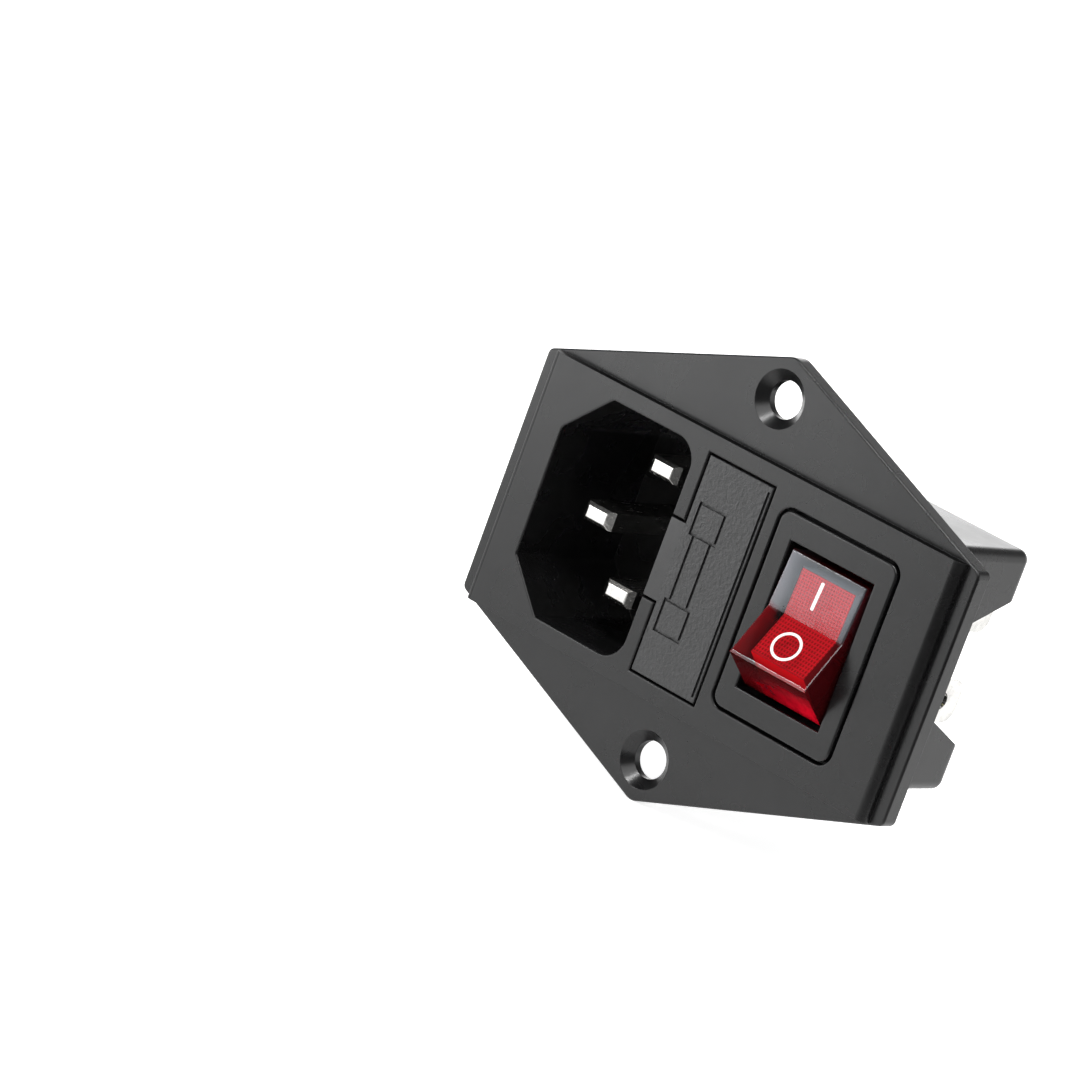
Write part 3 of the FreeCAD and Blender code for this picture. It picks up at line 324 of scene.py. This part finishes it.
def noise(material, size_mm, detail=3.0, roughness=0.55, stretch=(1, 1, 1)):
    """Noise whose features are about as large as given, in millimetres."""
    spread = add_node(material, "ShaderNodeMapping", {"Vector": object_place(material), "Scale": stretch})
    made = add_node(material, "ShaderNodeTexNoise", {
        "Vector": spread.outputs["Vector"], "Scale": 1.0 / (size_mm * MM), "Detail": detail,
        "Roughness": roughness,
    })
    return made.outputs["Fac"]


def between(owner, factor, low, high, start=0.3, end=0.7):
    """Factor spread over a range of values."""
    made = add_node(owner, "ShaderNodeMapRange", {
        "Value": factor, "From Min": start, "From Max": end, "To Min": low, "To Max": high,
    })
    return made.outputs["Result"]


def shades(owner, factor, stops, interpolation="LINEAR"):
    """Colour ramp with stops of place and colour."""
    made = add_node(owner, "ShaderNodeValToRGB", {"Fac": factor})
    ramp = made.color_ramp
    ramp.interpolation = interpolation
    while len(ramp.elements) < len(stops):
        ramp.elements.new(0.5)
    for element, (place, color) in zip(ramp.elements, stops):
        element.position = place
        element.color = (*color, 1.0)
    return made.outputs["Color"]


def mix_colors(material, factor, first, second):
    """Mix of two colours."""
    inputs = {"Factor": factor, "A": first, "B": second}
    return add_node(material, "ShaderNodeMix", inputs, data_type="RGBA").outputs["Result"]


def mix_shaders(material, factor, first, second):
    """Mix of two shaders."""
    return add_node(material, "ShaderNodeMixShader", {"Fac": factor, 1: first, 2: second}).outputs["Shader"]


def diffuse(material, color):
    """Plain matt shader."""
    return add_node(material, "ShaderNodeBsdfDiffuse", {"Color": color}).outputs["BSDF"]


def steep(material, axis, least):
    """One where the surface faces along an axis, by its true normal."""
    normal = add_node(material, "ShaderNodeNewGeometry").outputs["True Normal"]
    along = add_node(material, "ShaderNodeSeparateXYZ", {"Vector": normal}).outputs[axis]
    return arithmetic(material, "GREATER_THAN", arithmetic(material, "ABSOLUTE", along), least)


def soft_edges(material, radius_mm):
    """Normal that rounds the shading of sharp edges."""
    return add_node(material, "ShaderNodeBevel", {"Radius": radius_mm * MM}, samples=4).outputs["Normal"]


def bump(material, height, depth_mm, strength, normal=None):
    """Bump of a real depth, on top of another normal."""
    inputs = {"Height": height, "Strength": strength, "Distance": depth_mm * MM}
    if normal is not None:
        inputs["Normal"] = normal
    return add_node(material, "ShaderNodeBump", inputs).outputs["Normal"]


def grey(level):
    """Nearly neutral dark tone of the black mouldings."""
    return (level, level, 1.04 * level)


# Finishes

def pad_steps(material):
    """One on the pad's long sides, less at their left corners and on its left end, and zero elsewhere."""
    across = along_axis(material, "X")
    proud = arithmetic(material, "LESS_THAN", along_axis(material, "Y"), STEP_FOOT * MM)
    left = arithmetic(material, "LESS_THAN", across, LEFT_END * MM)
    left_end = product(material, steep(material, "X", least=0.15), LEFT_MATT, left)
    fade = between(material, across, CORNER_MATT, 1.0, LEFT_END * MM, LEFT_FADE * MM)
    long_side = product(material, steep(material, "Z", least=0.9), fade)
    return product(material, arithmetic(material, "MAXIMUM", long_side, left_end), proud)


def moulded_plastic(name, level, roughness, grain_mm, grain_depth_mm, shine, matt_steps=False):
    """Black moulded plastic: mottled, finely grained and unevenly glossy, matt on the pad's sides."""
    material, shader = start_finish(name, grey(level), roughness, Specular_IOR_Level=shine)
    mottle = noise(material, size_mm=2.6, detail=4.0)
    tones = [(0.3, grey(0.8 * level)), (0.7, grey(1.25 * level))]
    connect(material, shades(material, mottle, tones), shader, "Base Color")
    cloud = noise(material, size_mm=5.0)
    gloss = between(material, cloud, roughness - 0.03, roughness + 0.03)
    if matt_steps:
        step = pad_steps(material)
        gloss = arithmetic(material, "MAXIMUM", gloss, step)
        dull = between(material, step, shine, STEP_SHINE, 0.0, 1.0)
        connect(material, dull, shader, "Specular IOR Level")
    connect(material, gloss, shader, "Roughness")
    grain = noise(material, grain_mm, detail=2.0, roughness=0.6)
    rounded = soft_edges(material, EDGE_SOFTNESS)
    connect(material, bump(material, grain, grain_depth_mm, strength=1.0, normal=rounded), shader, "Normal")
    return material


def grained_plastic(name, level, roughness, shine):
    """Spark-eroded matt grain on the drawer's plate, polished on its finger tab."""
    material, shader = start_finish(name, grey(level), roughness, Specular_IOR_Level=shine)
    across = along_axis(material, "X")
    plate = between(material, across, 0.0, 1.0, (TAB_EDGE - TAB_BLEND) * MM, TAB_EDGE * MM)
    mottle = noise(material, size_mm=1.6, detail=4.0)
    tones = [(0.3, grey(0.75 * level)), (0.7, grey(1.3 * level))]
    connect(material, shades(material, mottle, tones), shader, "Base Color")
    connect(material, between(material, plate, 0.3, roughness, 0.0, 1.0), shader, "Roughness")
    grain = noise(material, size_mm=0.42, roughness=0.65)
    strength = between(material, plate, 0.15, 1.0, 0.0, 1.0)
    rounded = soft_edges(material, PLATE_SOFTNESS)
    grained = bump(material, grain, depth_mm=0.13, strength=strength, normal=rounded)
    connect(material, grained, shader, "Normal")
    return material


def plated_metal(name, color, roughness, staked=False):
    """Bright plated sheet metal: faint rolling lines and dull patches, beaten rough on staked heads."""
    material, shader = start_finish(name, color, roughness, Metallic=1.0)
    tint = tuple(0.8 * channel for channel in color)
    patches = noise(material, size_mm=1.4, detail=4.0)
    clean = shades(material, patches, [(0.35, tint), (0.6, color)])
    lines = noise(material, size_mm=0.3, stretch=(1, 0.12, 1))
    connect(material, between(material, lines, roughness - 0.05, roughness + 0.1), shader, "Roughness")
    rounded = soft_edges(material, EDGE_SOFTNESS)
    if not staked:
        connect(material, clean, shader, "Base Color")
        dents = bump(material, patches, depth_mm=0.02, strength=0.35, normal=rounded)
        connect(material, dents, shader, "Normal")
        return material
    depth = along_axis(material, "Y")
    head = between(material, depth, 0.0, 1.0, STAKE_START * MM, (STAKE_START + STAKE_BLEND) * MM)
    pits = noise(material, size_mm=0.32, roughness=0.7)
    beaten = shades(material, pits, [(0.36, (0.12, 0.11, 0.1)), (0.5, (0.55, 0.54, 0.51)), (0.62, color)])
    connect(material, mix_colors(material, head, clean, beaten), shader, "Base Color")
    strength = between(material, head, 0.05, 0.9, 0.0, 1.0)
    pitted = bump(material, pits, depth_mm=0.12, strength=strength, normal=rounded)
    connect(material, pitted, shader, "Normal")
    return material


def cap_walls(material, inside, end):
    """Walls of the clear cap: painted dark shade outside, and on the ends painted red light that grows toward
    their feet and the right; inside red below and a painted grey sheen above.
    """
    tilt = math.radians(ROCKER_REST_TILT)
    depth = reach_along(material, (0.0, math.cos(tilt), math.sin(tilt)))
    rise = reach_along(material, (0.0, -math.sin(tilt), math.cos(tilt)))
    # Painted shade on the end walls: darkest at their top edge and on the left, painted red light toward the
    # foot and the right
    deep = between(material, depth, 0.0, 1.0, WALL_TOP * MM, WALL_FOOT * MM)
    along = between(material, along_axis(material, "X"), 0.25, 1.0, WALL_LEFT * MM, WALL_RIGHT * MM)
    shade_variation = between(material, noise(material, size_mm=1.1, detail=2.0, stretch=(1, 0.4, 1)), 0.75, 1.15)
    end_shade_tone = shades(material, product(material, deep, along, shade_variation), CAP_END_SHADE_REDS)
    upper = between(material, rise, 0.0, 1.0, -CREASE_BLEND * MM, CREASE_BLEND * MM)
    # The raised half's inner walls get a painted grey sheen in place of red
    inner_tone = shades(material, upper, [(0.0, (0.3, 0.003, 0.008)), (1.0, CAP_PAINTED_SHEEN)])
    inner_end_tone = shades(material, upper, [(0.0, (0.8, 0.006, 0.018)), (1.0, CAP_PAINTED_SHEEN)])
    # Outer side walls are a painted dark shade in place of clear plastic; the ends carry the painted end
    # tones
    outer = mix_shaders(material, end, diffuse(material, CAP_PAINTED_SHADE), diffuse(material, end_shade_tone))
    inner = mix_shaders(material, end, diffuse(material, inner_tone), diffuse(material, inner_end_tone))
    return mix_shaders(material, inside, outer, inner)


def clear_plastic(name):
    """Clear polished plastic: a mirror film outside, clear facets, and walls with painted shade and painted
    red light in depth.
    """
    material, mirror = start_finish(name, (0.92, 0.96, 1.0), roughness=0.05, Metallic=1.0)
    streaks = noise(material, size_mm=1.2)
    connect(material, between(material, streaks, 0.03, 0.08), mirror, "Roughness")
    inside = add_node(material, "ShaderNodeNewGeometry").outputs["Backfacing"]
    outside = arithmetic(material, "SUBTRACT", 1.0, inside)
    end = steep(material, "Z", least=0.66)
    wall = arithmetic(material, "MAXIMUM", steep(material, "X", least=0.7), end)

    slant = add_node(material, "ShaderNodeLayerWeight", {"Blend": 0.5}).outputs["Facing"]
    rim = arithmetic(material, "POWER", slant, FILM_POWER)
    angle = arithmetic(material, "MULTIPLY_ADD", rim, FILM_RIM, FILM_FACE)
    dull_walls = between(material, wall, 1.0, WALL_FILM, 0.0, 1.0)
    film = product(material, angle, outside, dull_walls)

    clear = add_node(material, "ShaderNodeBsdfTransparent", {"Color": CAP_CLEAR}).outputs["BSDF"]
    walls = cap_walls(material, inside, end)
    body = mix_shaders(material, product(material, wall, WALL_SHARE), clear, walls)
    whole = mix_shaders(material, film, body, mirror.outputs["BSDF"])
    connect(material, whole, material.node_tree.nodes["Material Output"], "Surface")
    return material


def ribbed_red(name):
    """Red plastic with a fine square grid of ribs on its face, with painted shade in the hollows between the
    ribs.
    """
    material, shader = start_finish(name, (0.85, 0.006, 0.018), roughness=0.4, Specular_IOR_Level=0.06)
    waves = []
    for axis in ("X", "Z"):
        turns = product(material, along_axis(material, axis), 2 * math.pi / (LENS_GRID * MM))
        waves.append(arithmetic(material, "SINE", turns))
    grid = arithmetic(material, "MAXIMUM", *waves)
    tone = between(material, grid, 0.0, 1.0, -1.0, 1.0)
    # Base colour: painted shade in the ribs' hollows, lighter red on their crests
    connect(material, shades(material, tone, LENS_SHADED_REDS), shader, "Base Color")
    connect(material, bump(material, tone, depth_mm=0.05, strength=0.7), shader, "Normal")
    return material


def white_print(name):
    """White pad-printed ink, slightly uneven."""
    material, shader = start_finish(name, (0.9, 0.87, 0.86), roughness=0.4)
    wear = noise(material, size_mm=0.3)
    tones = [(0.3, (0.8, 0.74, 0.74)), (0.6, (0.93, 0.9, 0.89))]
    connect(material, shades(material, wear, tones), shader, "Base Color")
    connect(material, bump(material, wear, depth_mm=0.01, strength=0.5), shader, "Normal")
    return material


def thin_glass(name, color):
    """Clear drawn glass with faint waves."""
    material, shader = start_finish(name, color, roughness=0.02, Transmission_Weight=1.0, IOR=1.5)
    waves = noise(material, size_mm=2.0, detail=1.0, stretch=(1, 1, 0.2))
    connect(material, bump(material, waves, depth_mm=0.01, strength=0.4), shader, "Normal")
    return material


def pale_nylon(name):
    """Natural nylon, waxy and a little cloudy."""
    material, shader = start_finish(name, (0.8, 0.78, 0.72), roughness=0.42, Subsurface_Weight=0.2)
    shader.inputs["Subsurface Radius"].default_value = (0.6 * MM, 0.5 * MM, 0.4 * MM)
    clouds = noise(material, size_mm=0.8)
    tones = [(0.3, (0.74, 0.71, 0.64)), (0.7, (0.84, 0.82, 0.77))]
    connect(material, shades(material, clouds, tones), shader, "Base Color")
    connect(material, bump(material, clouds, depth_mm=0.01, strength=0.4), shader, "Normal")
    return material


def resistor_finish(name):
    """Lacquered resistor body with colour bands, and bare tinned leads at both ends."""
    material, shader = start_finish(name, (0.5, 0.36, 0.2), roughness=0.35)
    low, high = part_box("lamp_resistor")
    middle = (low.x + high.x) / 2
    half = RESISTOR_HALF * MM
    across = along_axis(material, "X")
    share = between(material, across, 0.0, 1.0, middle - half, middle + half)
    banded = shades(material, share, RESISTOR_BANDS, "CONSTANT")
    reach = arithmetic(material, "ABSOLUTE", arithmetic(material, "SUBTRACT", across, middle))
    lead = between(material, reach, 0.0, 1.0, half, half + LEAD_BLEND * MM)
    connect(material, mix_colors(material, lead, banded, (0.75, 0.74, 0.72, 1.0)), shader, "Base Color")
    connect(material, lead, shader, "Metallic")
    return material


def floor_finish(name):
    """Plain pale floor; in reflections only it is painted dark toward the right and painted bright far to the
    left.
    """
    material, shader = start_finish(name, (0.92, 0.92, 0.92), roughness=0.7, Specular_IOR_Level=0.1)
    cloud = noise(material, size_mm=60.0, detail=2.0)
    sheet = shades(material, cloud, [(0.3, (0.915, 0.915, 0.915)), (0.7, (0.93, 0.93, 0.93))])
    right = reach_along(material, ROOM_SIDE)
    fade = between(material, right, 1.0, MIRROR_SHADE_LEVEL, ROOM_START * MM, ROOM_END * MM)
    left = reach_along(material, MIRROR_LIGHT_SIDE)
    mirror_light_lift = between(material, left, 1.0, MIRROR_LIGHT_LEVEL, MIRROR_LIGHT_START * MM, MIRROR_LIGHT_END * MM)
    # In reflections only, the floor's colour gets painted shade on the right and its glow painted light far
    # to the left
    dim = add_node(material, "ShaderNodeVectorMath", {0: sheet, "Scale": fade}, operation="SCALE")
    mirrored = add_node(material, "ShaderNodeLightPath").outputs["Is Glossy Ray"]
    connect(material, mix_colors(material, mirrored, sheet, dim.outputs["Vector"]), shader, "Base Color")
    shader.inputs["Emission Color"].default_value = (1.0, 1.0, 1.0, 1.0)
    faint = product(material, fade, mirror_light_lift, MIRRORED_PAINTED_GLOW)
    levels = {"Factor": mirrored, "A": FLOOR_GLOW, "B": faint}
    glow = add_node(material, "ShaderNodeMix", levels, data_type="FLOAT").outputs["Result"]
    connect(material, glow, shader, "Emission Strength")
    return material


BLACK = moulded_plastic("housing_plastic", level=0.005, roughness=0.28, grain_mm=0.12, grain_depth_mm=0.003,
                        shine=0.48, matt_steps=True)
GRAINED = grained_plastic("drawer_plastic", level=0.008, roughness=0.34, shine=0.66)
SATIN = moulded_plastic("bezel_plastic", level=0.005, roughness=0.26, grain_mm=0.1, grain_depth_mm=0.004,
                        shine=0.47)
PLATED = plated_metal("plated_brass", NICKEL, roughness=0.2)
STAKED = plated_metal("staked_plated_brass", NICKEL, roughness=0.18, staked=True)
SPRING = plated_metal("spring_steel", (0.62, 0.62, 0.63), roughness=0.25)
CLEAR = clear_plastic("clear_cap")
RED = ribbed_red("ribbed_red_lens")
INK = white_print("white_marks")
GLASS = thin_glass("fuse_glass", (0.96, 0.98, 0.97))
LAMP = thin_glass("lamp_glass", (1.0, 0.9, 0.78))
NYLON = pale_nylon("plunger_nylon")
RESISTOR = resistor_finish("resistor_lacquer")
FINISHES = {
    "housing_black": BLACK, "drawer_black": GRAINED, "bezel_black": SATIN, "rocker_clear": CLEAR,
    "rocker_red": RED, "plated_brass": PLATED, "spring_steel": SPRING, "fuse_glass": GLASS,
    "lamp_glass": LAMP, "plunger_nylon": NYLON, "resistor_coat": RESISTOR,
}
STAKED_NODES = ("line_pin", "neutral_pin", "earth_pin", "upper_fuse_clip", "lower_fuse_clip")


def finish_cad_pieces():
    """Puts the finish of its slot on every piece that comes from the frame."""
    for name, node in nodes.items():
        for material_slot in node.material_slots:
            wanted = material_slot.material.name.split(".")[0]
            material_slot.material = STAKED if name in STAKED_NODES else FINISHES[wanted]


# The drawer's engraved face

def bar_cutter(middle_x, half_z, front):
    """Straight groove cutter that stands on the drawer's face."""
    deselect_all()
    bpy.ops.mesh.primitive_cube_add(size=1.0)
    cutter = bpy.context.object
    cutter.scale = (LINE_WIDTH * MM, 2 * LINE_DEPTH * MM, 2 * half_z * MM)
    cutter.location = (middle_x * MM, front, 0.0)
    settle(cutter)
    return cutter


def frame_cutter(low_x, high_x, low_z, high_z, front):
    """Groove cutter that follows a rectangle."""
    deselect_all()
    bpy.ops.mesh.primitive_plane_add(size=1.0)
    cutter = bpy.context.object
    cutter.scale = ((high_x - low_x + LINE_WIDTH) * MM, (high_z - low_z + LINE_WIDTH) * MM, 1.0)
    cutter.rotation_euler = (math.pi / 2, 0.0, 0.0)
    cutter.location = ((low_x + high_x) / 2 * MM, front, (low_z + high_z) / 2 * MM)
    settle(cutter)
    leave_rim(cutter, LINE_WIDTH)
    apply_modifier(cutter, "SOLIDIFY", thickness=2 * LINE_DEPTH * MM, offset=0.0)
    return cutter


def copy_of_node(name, new_name):
    """Merged copy of a piece from the frame, free to be cut."""
    pick(nodes[name])
    bpy.ops.object.duplicate()
    copy = bpy.context.object
    copy.name = new_name
    copy.parent = None
    for key in list(copy.keys()):
        del copy[key]
    bpy.ops.mesh.customdata_custom_splitnormals_clear()
    bpy.ops.object.mode_set(mode="EDIT")
    bpy.ops.mesh.select_all(action="SELECT")
    bpy.ops.mesh.remove_doubles(threshold=MERGE_DISTANCE * MM)
    bpy.ops.mesh.dissolve_limited(angle_limit=math.radians(FLAT_ANGLE))
    bpy.ops.object.mode_set(mode="OBJECT")
    return copy


def engraved_drawer():
    """The drawer again, with the outline of a fuse and an edge line cut into its face."""
    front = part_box("fuse_drawer")[0].y
    drawer = copy_of_node("fuse_drawer", "engraved_drawer")
    cutters = [
        frame_cutter(FUSE_LEFT, FUSE_RIGHT, FUSE_CAP_START, FUSE_CAP_END, front),
        frame_cutter(FUSE_LEFT, FUSE_RIGHT, -FUSE_CAP_END, -FUSE_CAP_START, front),
        bar_cutter(TUBE_LEFT, FUSE_CAP_START, front),
        bar_cutter(TUBE_RIGHT, FUSE_CAP_START, front),
        bar_cutter(EDGE_LINE_X, EDGE_LINE_HALF, front),
    ]
    for cutter in cutters:
        outward(cutter)
        apply_modifier(drawer, "BOOLEAN", operation="DIFFERENCE", solver="EXACT", object=cutter)
        bpy.data.objects.remove(cutter)
    pick(drawer)
    bpy.ops.object.shade_smooth_by_angle(angle=math.radians(DRAWER_SMOOTH_ANGLE))
    dress(drawer, GRAINED, "drawer")
    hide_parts("fuse_drawer")


# The marks on the rocker

def facet_frame(side):
    """Matrix that lays a flat mark on a facet: X stays, Y runs from the crease to the edge, Z points out."""
    pivot = Vector(joints["rocker_tilt"]["pos_m"])
    tilt = Matrix.Rotation(math.radians(ROCKER_REST_TILT), 3, "X")
    crease = pivot + tilt @ Vector((0, -ROCKER_CREASE_REACH, 0)) * MM
    edge = pivot + tilt @ Vector((0, -ROCKER_EDGE_REACH, side * ROCKER_EDGE_HALF)) * MM
    along = (edge - crease).normalized()
    across = Vector((side, 0, 0))
    out = across.cross(along)
    turn = Matrix((across, along, out)).transposed().to_4x4()
    return Matrix.Translation(crease) @ turn


def lay_mark(mark, name, side):
    """Thickens a flat mark, rounds its rim and lays it on its facet."""
    mark.name = name
    apply_modifier(mark, "SOLIDIFY", thickness=(MARK_RAISE + MARK_SINK) * MM, offset=0.0)
    apply_modifier(mark, "BEVEL", width=MARK_BEVEL * MM, segments=2, limit_method="ANGLE")
    mark.location = (0.0, 0.0, (MARK_RAISE - MARK_SINK) / 2 * MM)
    settle(mark)
    mark.matrix_world = facet_frame(side)
    settle(mark)
    outward(mark)
    bpy.ops.object.shade_smooth_by_angle(angle=math.radians(MARK_SMOOTH_ANGLE))
    dress(mark, INK, "rocker")


def on_mark():
    """Upright bar on the upper facet."""
    deselect_all()
    bpy.ops.mesh.primitive_plane_add(size=1.0)
    mark = bpy.context.object
    mark.scale = (BAR_WIDTH * MM, BAR_LENGTH * MM, 1.0)
    mark.location = (0.0, BAR_MIDDLE * MM, 0.0)
    settle(mark)
    bpy.ops.object.mode_set(mode="EDIT")
    bpy.ops.mesh.select_mode(type="VERT")
    bpy.ops.mesh.select_all(action="SELECT")
    bpy.ops.mesh.bevel(offset=BAR_CORNER * MM, segments=4, affect="VERTICES")
    bpy.ops.object.mode_set(mode="OBJECT")
    lay_mark(mark, "on_mark", 1)


def off_mark():
    """Ring on the lower facet."""
    deselect_all()
    bpy.ops.mesh.primitive_circle_add(vertices=RING_CORNERS, radius=RING_RADIUS * MM, fill_type="NGON")
    mark = bpy.context.object
    mark.location = (0.0, RING_MIDDLE * MM, 0.0)
    settle(mark)
    leave_rim(mark, RING_STROKE)
    lay_mark(mark, "off_mark", -1)


# Floor, light and camera

def add_floor():
    """Wide pale floor just under the part."""
    deselect_all()
    bpy.ops.mesh.primitive_plane_add(size=2 * FLOOR_HALF, location=(0, 0, cad_box[0].z - FLOOR_DROP * MM))
    floor = bpy.context.object
    floor.name = "floor"
    settle(floor)
    floor.data.materials.append(floor_finish("pale_floor"))


def add_surround():
    """Soft studio surround: bright near the horizon, dim overhead and towards a dark room on the right."""
    world = bpy.data.worlds.new("studio_surround")
    bpy.context.scene.world = world
    world.use_nodes = True
    shell = world.node_tree.nodes["Background"]
    toward = add_node(world, "ShaderNodeTexCoord").outputs["Generated"]
    height = add_node(world, "ShaderNodeSeparateXYZ", {"Vector": toward}).outputs["Z"]
    stops = [(stop, (level, level, level)) for stop, level in SKY_LEVELS]
    connect(world, shades(world, height, stops), shell, "Color")
    right = dot_product(world, toward, ROOM_SIDE)
    strength = between(world, right, SKY_STRENGTH, SKY_ROOM_STRENGTH, SKY_ROOM_START, SKY_ROOM_END)
    connect(world, strength, shell, "Strength")


def add_softbox(name, toward, distance, width, height, power, color):
    """Rectangular area light that faces the part from a direction."""
    light = bpy.data.lights.new(name, "AREA")
    light.shape = "RECTANGLE"
    light.size = width
    light.size_y = height
    light.energy = power
    light.color = color
    lamp = bpy.data.objects.new(name, light)
    bpy.context.scene.collection.objects.link(lamp)
    direction = Vector(toward).normalized()
    lamp.location = direction * distance
    lamp.rotation_euler = direction.to_track_quat("Z", "Y").to_euler()


def add_camera():
    """Camera at the photograph's place, with its turn and its roll."""
    azimuth, elevation, roll = (math.radians(a) for a in (CAMERA_AZIMUTH, CAMERA_ELEVATION, CAMERA_ROLL))
    back = Vector((math.sin(azimuth) * math.cos(elevation), -math.cos(azimuth) * math.cos(elevation),
                   math.sin(elevation)))
    level = Vector((math.cos(azimuth), math.sin(azimuth), 0.0))
    rise = back.cross(level)
    right = level * math.cos(roll) + rise * math.sin(roll)
    up = rise * math.cos(roll) - level * math.sin(roll)
    data = bpy.data.cameras.new("photo_camera")
    data.lens = CAMERA_LENS
    data.sensor_width = CAMERA_SENSOR
    data.clip_start = CAMERA_NEAR
    camera = bpy.data.objects.new("photo_camera", data)
    bpy.context.scene.collection.objects.link(camera)
    camera.matrix_world = Matrix.Translation(CAMERA_EYE) @ Matrix((right, up, back)).transposed().to_4x4()
    bpy.context.scene.camera = camera


finish_cad_pieces()
engraved_drawer()
on_mark()
off_mark()
add_floor()
add_surround()
for softbox in SOFTBOXES:
    add_softbox(*softbox)
add_camera()
bpy.context.scene.view_settings.view_transform = "Standard"
